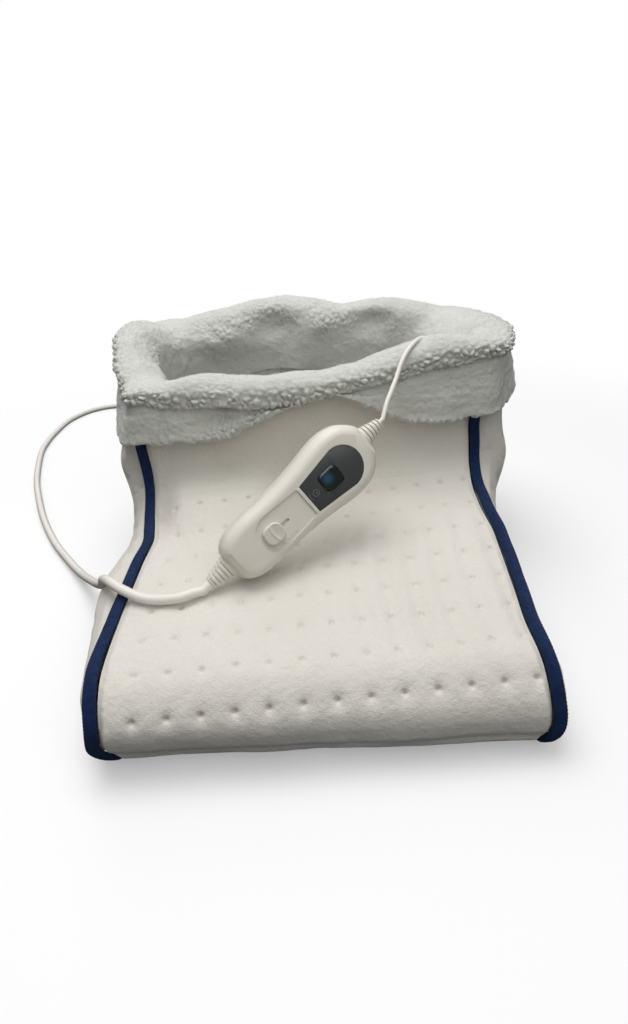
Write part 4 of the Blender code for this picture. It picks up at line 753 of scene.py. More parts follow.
# %% Side nets
class SideNet:
    """Cells along the sole and up the shaft, relaxed inside a profile, with a bulge."""

    def __init__(self, profile, rim_drop, rim_bulge, cells):
        toe, shaft, low, high = cells
        self.start, self.wide, self.low, self.high = toe, toe + shaft, low, low + high
        self.shape = (self.wide + 1, self.high + 1)
        marks = profile.marks
        self.edges = [([(toe, j) for j in range(self.high, low - 1, -1)], rim_drop, marks[1]),
                      ([(i, low) for i in range(toe, -1, -1)], marks[1], marks[2]),
                      ([(0, j) for j in range(low, -1, -1)], marks[2], marks[3]),
                      ([(i, 0) for i in range(self.wide + 1)], marks[3], marks[4]),
                      ([(self.wide, j) for j in range(self.high + 1)], marks[4], profile.length - rim_drop)]
        self.used = np.zeros(self.shape, bool)
        self.used[:, :low + 1] = True
        self.used[toe:, :] = True
        self.inner = np.zeros(self.shape, bool)
        self.inner[1:-1, 1:low] = True
        self.inner[toe + 1:-1, 1:-1] = True
        self.place = np.zeros((*self.shape, 2))
        self.bulge = np.zeros(self.shape)
        for cells, first, last in self.edges:
            rows, columns = np.array(cells).T
            self.place[rows, columns] = profile.at(np.linspace(first, last, len(cells)))
        share = np.linspace(0, 1, shaft + 1)
        first, last = self.place[toe, self.high].copy(), self.place[self.wide, self.high].copy()
        self.place[toe:, self.high] = first + (last - first) * share[:, None]
        self.bulge[toe:, self.high] = rim_bulge * arch(share)

    def settle(self, bulge):
        """Places the cells from nothing but the edge, then blows the net up."""
        self.place[self.inner] = self.place[self.used & ~self.inner].mean(axis=0)
        self.relax(self.place, 0.0, 600)
        self.relax(self.bulge, 0.0, 600)
        swell = np.zeros(self.shape)
        self.relax(swell, 1.0, 600)
        self.bulge += np.sqrt(swell / swell.max()) * bulge

    def relax(self, field, source, rounds):
        """Settles a field inside the net to the mean of its neighbours, plus a source."""
        for _ in range(rounds):
            mean = (np.roll(field, 1, 0) + np.roll(field, -1, 0)
                    + np.roll(field, 1, 1) + np.roll(field, -1, 1)) / 4 + source
            field[self.inner] = mean[self.inner]

    def divide(self, coarse, finer):
        """Fills this net from a coarse one, cell by cell, and smooths what is between."""
        i, j = np.meshgrid(np.arange(self.shape[0]), np.arange(self.shape[1]), indexing="ij")
        ci = np.minimum(i // finer, coarse.wide - 1)
        cj = np.minimum(j // finer, coarse.high - 1)
        cj = np.where(ci < coarse.start, np.minimum(cj, coarse.low - 1), cj)
        u, v = i / finer - ci, j / finer - cj
        for field, rough in ((self.place, coarse.place), (self.bulge, coarse.bulge)):
            a, b = (u[..., None], v[..., None]) if rough.ndim == 3 else (u, v)
            fine = (rough[ci, cj] * (1 - a) * (1 - b) + rough[ci + 1, cj] * a * (1 - b)
                    + rough[ci, cj + 1] * (1 - a) * b + rough[ci + 1, cj + 1] * a * b)
            field[self.inner] = fine[self.inner]
        self.relax(self.place, 0.0, 40)
        self.relax(self.bulge, 0.0, 24)

    def sheet(self, side, x):
        """The net's points on one side of the boot, standing at x plus their bulge."""
        return np.column_stack([side * (x + self.bulge[self.used]), self.place[self.used]])

    def solid(self, name, node_name, outer, inner, look, sharp=None):
        """A closed piece from two sheets of the net's points."""
        number = np.zeros(self.shape, int)
        number[self.used] = np.arange(len(outer))
        i, j = np.meshgrid(np.arange(self.wide), np.arange(self.high), indexing="ij")
        keep = (i >= self.start) | (j < self.low)
        i, j = i[keep], j[keep]
        faces = np.stack([number[i, j], number[i + 1, j], number[i + 1, j + 1], number[i, j + 1]], axis=1)
        borders = {}
        for face in faces.tolist():
            for a, b in zip(face, face[1:] + face[:1]):
                if not borders.pop((b, a), False):
                    borders[a, b] = True
        count = len(outer)
        hems = [[b, a, a + count, b + count] for a, b in borders]
        faces = faces.tolist() + (faces[:, ::-1] + count).tolist() + hems
        points = settled(np.concatenate([outer, inner]))
        owned(mesh_piece(name, points, faces, look, sharp), BOOT, node_name)


def side_net(profile, rim_drop, rim_bulge, bulge, cells=(22, 12, 5, 7), finer=8):
    """A fine net, filled from a coarse one that has settled."""
    coarse = SideNet(profile, rim_drop, rim_bulge, cells)
    coarse.settle(bulge - rim_bulge / 2)
    fine = SideNet(profile, rim_drop, rim_bulge, tuple(finer * c for c in cells))
    fine.divide(coarse, finer)
    return fine


# %% Side panels
GUSSET_SWELL = {"left": (0.014, -0.030, 0.040), "right": (0.014, 0.075, 0.070)}
SIDE_FACE = SEAM_X + (SHELL - BINDING_THICKNESS / 2)
seam = inset_profile(BINDING_THICKNESS / 2 + 4 * GAP, BINDING_THICKNESS + 4 * GAP)


def gusset_rise(points, reach, middle_y, middle_z):
    """Dots on the side cloth, soft waves, and the place where the ankles push it out."""
    swell = reach * bell(points[:, 1], middle_y, 0.060) * bell(points[:, 2], middle_z, 0.036)
    dots = quilted(dot_distance(points[:, 1] - 0.004, points[:, 2] - 0.012), 0.0018, 0.0018, 0.0014)
    return dots + 0.0012 * cloudy(points, 0.040, 13) + 0.0006 * cloudy(points, 0.015, 14) + swell


for word, side in SIDES:
    net = side_net(seam, HIDDEN_TOP, RIM_BULGE, GUSSET_BULGE[word])
    outer = net.sheet(side, SIDE_FACE)
    outer[:, 0] += side * np.where(net.inner[net.used], gusset_rise(outer, *GUSSET_SWELL[word]), 0)
    inner = net.sheet(side, SIDE_FACE - SHELL)
    net.solid(f"side_cloth_{word}", f"gusset_{word}", outer, inner, quilt_look, 60)
print("side panels made")


# %% [markdown]
# The fleece cuff is turned out over the rim. Its section is a thick roll with a flap under it, and the
# flap is short in the middle of the front and long at the corners. The heights of its crest and hem
# were read from the photograph at a few places and are joined smoothly.

# %% Cuff shape
CREST_FRONT = [(-123, 166), (-100, 169), (-72, 166.5), (-36, 166), (-1, 166.5), (35, 171.5), (70, 181.5),
               (98, 188), (127, 186)]
CREST_BACK = [(-116, 186), (-80, 193.5), (-55, 198.5), (-28, 200.5), (4, 197.5), (28, 190.5), (56, 193.5),
              (81, 193.5), (105, 188.5), (125, 185)]
CREST_LEFT = [(36, 166), (55, 176), (75, 186), (95, 192), (115, 194.5), (132, 192), (150, 186)]
CREST_RIGHT = [(36, 186), (60, 187), (90, 186), (120, 185), (150, 184.5)]
BAND_FRONT = [(-127, 153), (-95, 147.5), (-72, 149), (-46, 145), (-2, 148), (27, 154.5), (48, 157.5),
              (84, 167), (112, 170), (127, 173)]
HEM_FRONT = [(-123, 123), (-100, 124), (-82, 122.5), (-60, 125.5), (-42, 136), (-12, 145.5), (18, 151),
             (34, 145), (69, 130), (101, 128.5), (127, 131)]
HEM_BACK = [(-120, 140), (0, 145), (120, 142)]
BACK_ROLL, SIDE_ROLL = 0.0150, 0.0125
CUFF_STATIONS = 820


def cuff_loop(half_x, front, back, corner, flared=False):
    """A closed loop in plan round the rim: straight front and back, bulged sides."""
    quarter = np.linspace(0, math.pi / 2, 24)
    run, depth = half_x - corner, back - front - 2 * corner
    share = np.linspace(0, 1, 60)
    between = share[1:-1]
    half = np.concatenate([
        np.stack([run * share, np.full(60, front)], 1),
        np.stack([run + corner * np.sin(quarter), front + corner * (1 - np.cos(quarter))], 1)[1:],
        np.stack([half_x + RIM_BULGE * arch(between), front + corner + depth * between], 1),
        np.stack([run + corner * np.cos(quarter), back - corner * (1 - np.sin(quarter))], 1),
        np.stack([run * share[::-1], np.full(60, back)], 1)[1:]])
    loop = np.concatenate([half, (half * (-1, 1))[-2:0:-1]])
    if flared:
        reach = np.where(loop[:, 0] > 0, CUFF_FLARE["right"], -CUFF_FLARE["left"])
        loop[:, 0] += reach * arch((loop[:, 1] - front) / (back - front))
    return loop


def resampled(loops, count):
    """Loops with the same stations, spread evenly by the length of the first."""
    rings = [np.concatenate([loop, loop[:1]]) for loop in loops]
    along = lengths(rings[0])
    places = np.linspace(0, along[-1], count, endpoint=False)
    return [np.stack([np.interp(places, along, ring[:, k]) for k in (0, 1)], axis=1) for ring in rings]


around_binding = BINDING_THICKNESS / 2 + GAP + CUFF_EASE
beside_binding = BINDING_WIDTH / 2 + GAP + CUFF_EASE
outer_sizes = (SEAM_X + beside_binding, SHAFT_Y - around_binding, HEEL_Y + around_binding)
inner_sizes = (HALF_PANEL - GAP, SHAFT_Y + SHELL + GAP, HEEL_Y - SHELL - GAP)
thickness = np.array([CUFF_FLEECE, -CUFF_FLEECE, CUFF_FLEECE])
face_sizes, throat_sizes = outer_sizes + thickness, inner_sizes - thickness
face_plan, face_low, slot_plan, slot_low, slot_in_plan, throat_plan = resampled(
    [cuff_loop(*face_sizes, 0.0135), cuff_loop(*face_sizes, 0.0135, True), cuff_loop(*outer_sizes, 0.006),
     cuff_loop(*outer_sizes, 0.006, True), cuff_loop(*inner_sizes, 0.006), cuff_loop(*throat_sizes, 0.018)],
    CUFF_STATIONS)
plan_x, plan_y = face_plan.T
back_share = eased(plan_y, SHAFT_Y - 0.004, HEEL_Y + 0.004)
side_share = eased(np.abs(plan_x), 0.112, 0.142)
right_share = eased(plan_x, 0.10, 0.14)
front_share = 1 - eased(plan_y, SHAFT_Y - 0.004, SHAFT_Y + 0.03)


def round_the_rim(front, back, side):
    """A height at each station, from heights along the front, the back and the sides."""
    straight = front * (1 - back_share) + back * back_share
    return straight * (1 - side_share) + side * side_share


side_crest = np.where(plan_x > 0, read_line(plan_y, CREST_RIGHT), read_line(plan_y, CREST_LEFT))
crest = round_the_rim(read_line(plan_x, CREST_FRONT), read_line(plan_x, CREST_BACK), side_crest)
band = round_the_rim(read_line(plan_x, BAND_FRONT), crest - BACK_ROLL, side_crest - SIDE_ROLL)
hem = read_line(plan_x, HEM_FRONT) * (1 - back_share) + read_line(plan_x, HEM_BACK) * back_share
hem = np.minimum(hem, band - 0.0008)
flap = np.clip((band - hem) / 0.012, 0, 1)
ragged = nubs(np.column_stack([face_plan, 0 * plan_x]), 0.0042, 19)
hem = hem + 0.0012 - 0.0030 * ragged * flap

# %% Cuff surface
INNER_DROP = 0.058
PINCH = {"left": 0.0035, "right": 0.0040}


def level_loop(plan, height):
    """A loop that ends at the given heights after the boot's lean is added."""
    lean = eased(plan[:, 1], TOE_Y, SHAFT_Y) * (1 - eased(plan[:, 1], SHAFT_Y, HEEL_Y))
    return settled(np.column_stack([plan, height - SLUMP * lean * plan[:, 0] / SEAM_X]))


def across_cuff(share, height):
    """A loop of points between the throat and the face, at absolute heights, leaned with the boot."""
    low = np.clip((crest - 0.008 - height) / np.maximum(crest - 0.008 - hem, 0.001), 0, 1)
    face = face_plan + (face_low - face_plan) * low[:, None]
    face[:, 0] -= PINCH["right"] * right_share * (1 - low) - PINCH["left"] * eased(-plan_x, 0.10, 0.14)
    return level_loop(throat_plan + (face - throat_plan) * np.reshape(share, (-1, 1)), height)


def hidden_loop(plan, height):
    return settled(np.column_stack([plan, height]))


roll = crest - band
dent = 0.20 * bell(plan_x, -0.071, 0.013) * front_share
controls = np.array([across_cuff(share, height) for share, height in (
    (0.02, crest - INNER_DROP), (-0.02, crest - 0.040), (-0.06, crest - 0.026), (-0.10, crest - 0.016),
    (0.00, crest - 0.007), (0.20, crest - 0.0022), (0.50, crest), (0.80, crest - 0.0022),
    (1.00, crest - 0.42 * roll), (1.04, crest - 0.75 * roll), (0.99, band),
    (0.90 - dent, band - 0.002 * flap), (0.92 + 0.02 * flap - dent, band - 0.007 * flap),
    (0.95 + 0.04 * flap - dent, (band + hem) / 2),
    (0.96 + 0.08 * flap, hem + 0.005 * flap), (0.96 + 0.10 * flap, hem), (0.88 + 0.08 * flap, hem - 0.0012))])
spans = [max(3, round(float(np.linalg.norm(b - a, axis=1).max()) / 0.0010))
         for a, b in zip(controls, controls[1:])]
visible, row_place = spline(controls, spans)
rim_out, rim_in = rim_z(slot_plan[:, 1]), rim_z(slot_in_plan[:, 1])
hidden = np.array([level_loop(slot_low, hem + 0.001),
                   hidden_loop(slot_plan, np.minimum(rim_out + 0.0015, crest - 0.006)),
                   hidden_loop(slot_in_plan, np.minimum(rim_in + 0.0015, crest - 0.006)),
                   hidden_loop(slot_in_plan, rim_in - 0.050)])
print("cuff rows:", len(visible), "stations:", CUFF_STATIONS)

# %% [markdown]
# The fleece doesn't stand evenly: it sags into the opening at the right, lies in two hollows with a fold
# between them at the back, and curls into nubs where it is bent most. Each of these is a push on the
# points, and the nubs come from cell noise, which has a crease between its lumps.

# %% Folds and nubs of the fleece
inward = 1 - eased(row_place, 2.5, 6.0)
deep = 1 - eased(row_place, 0.5, 5.5)
right_end = eased(plan_x, 0.080, 0.135) * eased(plan_y, 0.046, 0.090)
left_end = eased(-plan_x, 0.090, 0.130) * eased(plan_y, 0.046, 0.080)
visible[..., 0] += deep * (0.009 * left_end - 0.027 * right_end)
x, y, z = visible[..., 0] - SIDE_SHIFT, visible[..., 1], visible[..., 2]
fold_line = 0.013 + 0.485 * (z - 0.172)
fold = bell(x + 0.005 * cloudy(visible, 0.02, 27), fold_line, 0.014) * (1 - eased(z, 0.176, 0.194))
hollows = bell(x, -0.019, 0.015) * bell(z, 0.180, 0.011) + bell(x, 0.064, 0.017) * bell(z, 0.178, 0.011)
swell = bell(x, -0.066, 0.026) * bell(z, 0.168, 0.014)
visible[..., 1] += eased(y, 0.112, 0.130) * inward * (0.0062 * hollows - 0.0046 * fold - 0.0040 * swell)


def grid_normals(rows):
    """Unit normals of a grid whose rows are closed loops, out of the fleece."""
    along = np.roll(rows, -1, 1) - np.roll(rows, 1, 1)
    normal = np.cross(np.gradient(rows, axis=0), along)
    normal /= np.maximum(np.linalg.norm(normal, axis=-1), 1e-9)[..., None]
    crest_row = int(np.argmax(rows[:, 0, 2]))
    return normal if normal[crest_row, :, 2].mean() > 0 else -normal


ways = grid_normals(visible)
outward_side = eased(row_place, 6.5, 8.0)
nub_band = bell(z, band + 0.0050, 0.0050) * outward_side
hem_band = bell(z, hem + 0.0035, 0.0040) * outward_side * front_share * bell(plan_x, -0.045, 0.034)
inner_band = bell(z, crest - 0.012, 0.0065) * (1 - outward_side) * (1 - front_share) * (1 - right_end)
patchy = eased(cloudy(visible, 0.030, 26), -0.35, 0.25)
curly = np.clip(1.2 * nub_band + hem_band, 0, 1) * (0.75 + 0.25 * patchy) + 0.35 * inner_band * patchy
lumps, small = nubs(visible, 0.0046, 21), nubs(visible, 0.0026, 22)
wrinkles = cloudy(visible * (0.45, 0.45, 2.4), 0.011, 23) * eased(row_place, 11.0, 12.5)
lift = (0.0016 * cloudy(visible, 0.026, 20) + 0.0006 * cloudy(visible, 0.009, 25)
        + (0.12 + curly) * (0.0034 * (lumps - 0.6) + 0.0009 * (small - 0.5))
        + 0.0009 * cloudy(visible, 0.0080, 24) * left_end * inward + 0.0005 * wrinkles)
lift *= (0.3 + 0.7 * eased(row_place, 0.0, 3.0)) * (1 - eased(row_place, 15.2, 16.0))
fleece_rows = visible + ways * lift[..., None]
ring_rows = np.concatenate([fleece_rows, hidden])
cuff = mesh_piece("cuff_pile", ring_rows, loft_faces(len(ring_rows), CUFF_STATIONS, closed=True), fleece_look)
owned(cuff, BOOT, "fleece_cuff")
print("cuff faces:", len(cuff.data.polygons))

# %% [markdown]
# Fine hairs soften the fleece's outline. Each one is a thin three-sided spike with its base in the pile,
# leaned at random, and the random numbers are seeded so that the fleece is the same in every run.

# %% Hairs of the fleece
HAIR_COUNT = 52000


def hairs(rows, normals, count, seed):
    """Thin spikes at random places of a grid, as one mesh's points and faces."""
    chance = np.random.default_rng(seed)
    r = chance.integers(len(rows) // 8, len(rows) - 3, count)
    c = chance.integers(0, rows.shape[1], count)
    root, out = rows[r, c], normals[r, c]
    way = out + chance.normal(0, 1, (count, 3)) * 0.75 - (0, 0, 0.35)
    way /= np.linalg.norm(way, axis=1)[:, None]
    way = np.where((way * out).sum(axis=1)[:, None] < 0.15, out, way)
    side = np.cross(way, chance.normal(0, 1, (count, 3)))
    side /= np.linalg.norm(side, axis=1)[:, None]
    other = np.cross(way, side)
    length = chance.uniform(0.0006, 0.0016, (count, 1))
    width = chance.uniform(0.00010, 0.00018, (count, 1))
    base = root - out * 0.0003
    corners = [base + width * (side * math.cos(t) + other * math.sin(t)) for t in (0, 2.094, 4.189)]
    points = np.stack([*corners, base + way * length], axis=1)
    first = np.arange(count)[:, None] * 4
    return points, np.concatenate([first + k for k in ((0, 1, 3), (1, 2, 3), (2, 0, 3), (2, 1, 0))]).tolist()


fuzz = mesh_piece("cuff_hair", *hairs(fleece_rows, ways, HAIR_COUNT, 7), pile_look)
owned(fuzz, BOOT)
print("hairs:", HAIR_COUNT)


# %% [markdown]
# The lining is the same pile, seen only in the depth of the boot. It is one strip along the profile
# and a net on each side, with soft lumps.

# %% Lining
LINING_DROP, LINING_SIDE_DROP = 0.032, 0.042
LINING_ROWS, LINING_COLUMNS = 260, 110


def lining_rise(points):
    return 0.0010 * cloudy(points, 0.03, 30) + 0.0010 * (nubs(points, 0.008, 31) - 0.6)


around = inset_profile(SHELL + 3 * GAP, BED)
s, x, flat, way = strip(around, LINING_DROP, around.length - LINING_DROP, LINING_ROWS, LINING_COLUMNS)
pile = flat - way * (FLEECE - 0.0010 + lining_rise(flat))[..., None]
rings = settled(np.concatenate([pile, flat[:, ::-5]], axis=1))
owned(mesh_piece("lining_strip", rings, loft_faces(*rings.shape[:2]), fleece_look), BOOT, "lining_band")
inside = inset_profile(SHELL + FLEECE + 6 * GAP, BED + FLEECE + 3 * GAP)
net = side_net(inside, LINING_SIDE_DROP, LINING_BULGE / 2, LINING_BULGE)
for word, side in SIDES:
    outer = net.sheet(side, HALF_PANEL - GAP)
    depth = FLEECE + np.where(net.inner[net.used], lining_rise(outer), 0)
    inner = outer - np.outer(depth, (side, 0, 0))
    net.solid(f"lining_side_{word}", f"lining_{word}", outer, inner, fleece_look)
print("lining made")

# %% [markdown]
# The controller is made again finely. Each part of its housing is an outline drawn in along its own
# normals while it rises, which gives a moulded edge of any roundness. The openings are cut with tools of
# the same outlines. All of it is drawn flat in the controller's own frame: U along, V across, W up.

# %% Outlines of the controller
CONTROLLER_WIDTH = 0.0467
TOP_HEIGHT, BASE_HEIGHT, SHELL_WALL = 0.0124, 0.0084, 0.0018
TOP_ROUND, BASE_ROUND, STRAIGHT_SIDE = 0.0074, 0.0050, 0.30
WINDOW_START, WINDOW_END, WINDOW_HALF, WINDOW_DEPTH = 0.0038, 0.0486, 0.0146, 0.0011
FIELD_START, FIELD_END, FIELD_HALF, FIELD_DEPTH = -0.0385, 0.0014, 0.0126, 0.0010
EDGE_HALF, OUTLINE_GAP = 0.0106, 0.0003
DISPLAY_U, DISPLAY_SIZE, DISPLAY_PROUD = 0.0232, (0.0150, 0.0134), 0.0009
KNOB_U, KNOB_TRAVEL, KNOB_SIZE, KNOB_HEIGHT = -0.0275, 0.0110, (0.0142, 0.0130), 0.0032
TRACK_WIDTH, SKIRT = 0.0024, (0.0290, 0.0090, 0.0006)
NEAR_SIDE, FACE_V = 1.05, -0.0018          # fuller towards the toe, where the face is set over
BODY_SHARES = [(-1.0, 0.32), (-0.985, 0.45), (-0.93, 0.61), (-0.82, 0.74), (-0.62, 0.80), (-0.35, 0.79),
               (-0.10, 0.81), (0.15, 0.87), (0.42, 0.97), (0.62, 1.0), (0.80, 0.90), (0.92, 0.67),
               (0.985, 0.46), (1.0, 0.30)]


def body_outline():
    """The housing seen from above: a waisted drop, wider towards the thin lead."""
    half = [(u * CONTROLLER_LENGTH / 2, v * CONTROLLER_WIDTH / 2, 0) for u, v in BODY_SHARES]
    upper = smooth_route(half, 7)[:, :2]
    return np.concatenate([upper[::-1], upper * (1, -NEAR_SIDE)])


def drawn_in(outline, distance):
    """An outline moved inwards along its normals, but never across its own middle line."""
    ways = np.roll(outline, -1, 0) - np.roll(outline, 1, 0)
    ways /= np.linalg.norm(ways, axis=1)[:, None]
    middle = (outline[:, 1].max() + outline[:, 1].min()) / 2
    reach = np.minimum(distance, 0.8 * np.abs(outline[:, 1] - middle) * distance / (distance + 0.002) + 1e-6)
    return outline + np.stack([-ways[:, 1], ways[:, 0]], axis=1) * reach[:, None]


def arch_outline(edge_u, end_u, half, steps=40):
    """A straight edge at one end and a half circle at the other."""
    way = 1 if end_u > edge_u else -1
    turn = np.linspace(-math.pi / 2, math.pi / 2, steps)
    arc = np.stack([end_u - way * half + way * half * np.cos(turn), half * np.sin(turn) * way], axis=1)
    return np.concatenate([[(edge_u, -EDGE_HALF * way)], arc, [(edge_u, EDGE_HALF * way)]])


def rounded_outline(size, power=3.4, count=72):
    """A rectangle with very round corners, drawn as one even curve."""
    turn = np.linspace(0, 2 * math.pi, count, endpoint=False)
    return np.stack([squarer(np.cos(turn), 2 / power) * size[0] / 2,
                     squarer(np.sin(turn), 2 / power) * size[1] / 2], axis=1)


def ring(outline, level):
    return np.column_stack([outline, np.full(len(outline), level)])


def moulded(outline, low, high, edge, edge_height=None, steps=8):
    """Rings up a side and round over the edge of its top."""
    edge_height = edge if edge_height is None else edge_height
    rings = [ring(outline, low)]
    for turn in np.linspace(0, math.pi / 2, steps + 1):
        level = high - edge_height * (1 - math.sin(turn))
        rings.append(ring(drawn_in(outline, edge * (1 - math.cos(turn))), level))
    return rings


def loft(name, rings, look, sharp=40):
    return mesh_piece(name, np.array(rings), loft_faces(len(rings), len(rings[0])), look, sharp)


def cut(target, outline, low, high):
    boolean(target, loft("tool", [ring(outline, low), ring(outline, high)], None))


def put_on_controller(piece, body, *nodes):
    """Moves a finished piece from the controller's own frame to its place."""
    piece.data.set_sharp_from_angle(angle=math.radians(35))
    piece.data.transform(CONTROLLER)
    return owned(piece, body, *nodes)


def housing_half(name, height, edge):
    """A hollow moulded half with a round edge, open where the halves meet."""
    outline, way = body_outline(), math.copysign(1, height)
    tall = abs(height)
    outer = moulded(outline, GAP / 2, tall, edge, tall * (1 - STRAIGHT_SIDE), 12)
    roof = tall - SHELL_WALL
    inner = [ring(drawn_in(outline, SHELL_WALL + inset), level) for inset, level in (
        (edge, roof), (edge / 2, roof * 0.8), (0, tall * STRAIGHT_SIDE), (0, GAP / 2))]
    rings = np.array([*outer, *inner]) * (1, 1, way)
    count, total, brim = len(outline), len(rings), len(outer)
    i = np.arange(count)
    faces = []
    for a, b in [(r, r + 1) for r in range(total - 1) if r != brim - 1] + [(total - 1, 0)]:
        faces += np.stack([a * count + i, a * count + (i + 1) % count,
                           b * count + (i + 1) % count, b * count + i], axis=1).tolist()
    faces += [((brim - 1) * count + i).tolist(), (brim * count + i).tolist()]
    return mesh_piece(name, rings, faces, shell_look, 35)


# %% Housing of the controller
window_line = arch_outline(WINDOW_START, WINDOW_END, WINDOW_HALF) + (0, FACE_V)
field_line = arch_outline(FIELD_END, FIELD_START, FIELD_HALF) + (0, FACE_V)
display_line = rounded_outline(DISPLAY_SIZE, 5) + (DISPLAY_U, FACE_V)
track_line = rounded_outline((KNOB_TRAVEL + 2 * TRACK_WIDTH, TRACK_WIDTH), 5)
track_line = track_line + (KNOB_U + KNOB_TRAVEL / 2, FACE_V)
top = housing_half("housing_top", TOP_HEIGHT, TOP_ROUND)
for line, depth in ((window_line, WINDOW_DEPTH), (field_line, FIELD_DEPTH), (track_line, 2 * SHELL_WALL)):
    cut(top, line, TOP_HEIGHT - depth, TOP_HEIGHT + SHELL_WALL)
sill_size = (WINDOW_START - FIELD_END - 0.0004, 2 * EDGE_HALF - 0.001)
sill_line = rounded_outline(sill_size, 8) + ((WINDOW_START + FIELD_END) / 2, FACE_V)
sill = moulded(sill_line, TOP_HEIGHT - 0.0004, TOP_HEIGHT + 0.0005, 0.0004)
boolean(top, loft("tool", sill, shell_look), "UNION")
put_on_controller(top, BOOT, "controller_top")
base = housing_half("housing_base", -BASE_HEIGHT, BASE_ROUND)
put_on_controller(base, BOOT, "controller_base")
print("housing faces:", len(top.data.polygons) + len(base.data.polygons))

# %% Window, display and its marks
sheet = moulded(drawn_in(window_line, OUTLINE_GAP), TOP_HEIGHT - WINDOW_DEPTH + GAP / 2, TOP_HEIGHT + 0.0001,
                0.0002, steps=3)
smoked = loft("smoked_window", sheet, window_look)
hole_line = rounded_outline([v + 2 * GAP for v in DISPLAY_SIZE], 5) + (DISPLAY_U, FACE_V)
cut(smoked, hole_line, 0, TOP_HEIGHT + SHELL_WALL)
put_on_controller(smoked, BOOT, "display_window")
lens = moulded(display_line, TOP_HEIGHT - 2 * SHELL_WALL, TOP_HEIGHT + DISPLAY_PROUD, 0.0016, 0.0009)
put_on_controller(loft("display_lens", lens, glass_look), BOOT, "display")


def bar(start, end, width, low, high):
    """A thin straight mark between two places on the face."""
    start, end = np.array(start), np.array(end)
    way = (end - start) / np.linalg.norm(end - start)
    side = np.array([-way[1], way[0]]) * width / 2
    outline = np.array([start - side, end - side, end + side, start + side])
    return [ring(outline, low), ring(outline, high)]


def joined(name, solids, look):
    """Several small lofts as one object."""
    points, faces = [], []
    for rings in solids:
        rings = np.array(rings)
        faces += [[len(points) + k for k in face] for face in loft_faces(len(rings), rings.shape[1])]
        points += rings.reshape(-1, 3).tolist()
    return mesh_piece(name, points, faces, look)


def window_marks():
    """A small clock face, and below it an arc of dashes, printed on the window."""
    low, high, width = TOP_HEIGHT, TOP_HEIGHT + 0.00015, 0.00028
    middle, solids = np.array([0.0098, FACE_V]), []
    turns = np.linspace(0, 2 * math.pi, 25)
    for radius, first, last in ((0.0021, 0, 24), (0.0047, 10, 14)):
        for k in range(first, last):
            spots = [middle + radius * np.array([math.cos(t), math.sin(t)]) for t in turns[k:k + 2]]
            solids.append(bar(*spots, width, low, high))
    for reach in ((0.0013, 0), (0.0003, -0.0010)):
        solids.append(bar(middle, middle + np.array(reach), width, low, high))
    return joined("window_marks", solids, mark_look)


put_on_controller(window_marks(), BOOT)
print("window made")


# %% Slide knob and its scale
KNOB_SIDE = ((0.97, 0.0), (1.0, 0.06), (1.0, 0.45), (0.985, 0.68), (0.95, 0.85), (0.90, 0.96))
FIELD_FLOOR = TOP_HEIGHT - FIELD_DEPTH
DIGIT_SIZE, DIGIT_DEPTH, DIGIT_U, DIGIT_V = 0.0034, 0.00012, -0.0012, -0.0094


def knob():
    """A round cap with a curved grip ridge; its stem and skirt fill the track under it."""
    line = rounded_outline(KNOB_SIZE, 2.6)
    foot = FIELD_FLOOR + GAP
    rings = [ring(line * share, foot + KNOB_HEIGHT * height) for share, height in KNOB_SIDE]
    for share in np.linspace(0.86, 0.04, 22):
        u, v = (line * share).T
        ridge = 0.00055 * bell(u + 0.0008 - 34 * v ** 2, 0, 0.0006) * (1 - eased(share, 0.70, 0.88))
        dish = 0.00045 * (1 - share ** 2) * eased(u, -0.002, 0.002)
        rings.append(np.column_stack([u, v, foot + KNOB_HEIGHT - dish + ridge]))
    roof = TOP_HEIGHT - SHELL_WALL
    stem = rounded_outline((TRACK_WIDTH * 1.5, TRACK_WIDTH - 2 * GAP), 5)
    skirt = rounded_outline(SKIRT[:2], 8)
    solids = [rings, [ring(stem, roof - SKIRT[2]), ring(stem, FIELD_FLOOR + KNOB_HEIGHT / 2)],
              [ring(skirt, roof - GAP - SKIRT[2]), ring(skirt, roof - GAP)]]
    made = joined("switch_knob", solids, knob_look)
    made.data.transform(Matrix.Translation((KNOB_U, FACE_V, 0)))
    return put_on_controller(made, SWITCH, "slide_knob")


def scale_number(text, u):
    """A plain raised digit beside the track."""
    line = bpy.data.curves.new("digit", "FONT")
    line.body, line.align_x = text, "CENTER"
    line.size, line.extrude = DIGIT_SIZE, DIGIT_DEPTH
    digit = meshed(f"switch_number_{text}", line)
    digit.data.transform(Matrix(((0, 1, 0, u + DIGIT_U), (-1, 0, 0, FACE_V + DIGIT_V),
                                 (0, 0, 1, FIELD_FLOOR), (0, 0, 0, 1))))
    dressed(digit, number_look)
    put_on_controller(digit, BOOT)


knob()
for step in range(4):
    scale_number(str(step), KNOB_U + KNOB_TRAVEL * step / 3 + 0.001)
print("switch made")

# %% Strain reliefs
SLIT_HALF, SLIT_DEPTH, SLITS = 0.00030, 0.0016, 5
SLIT_STEPS = ((-1.8, 0), (-1, 0.0001), (-0.9, SLIT_DEPTH), (0.9, SLIT_DEPTH), (1, 0.0001), (1.8, 0))


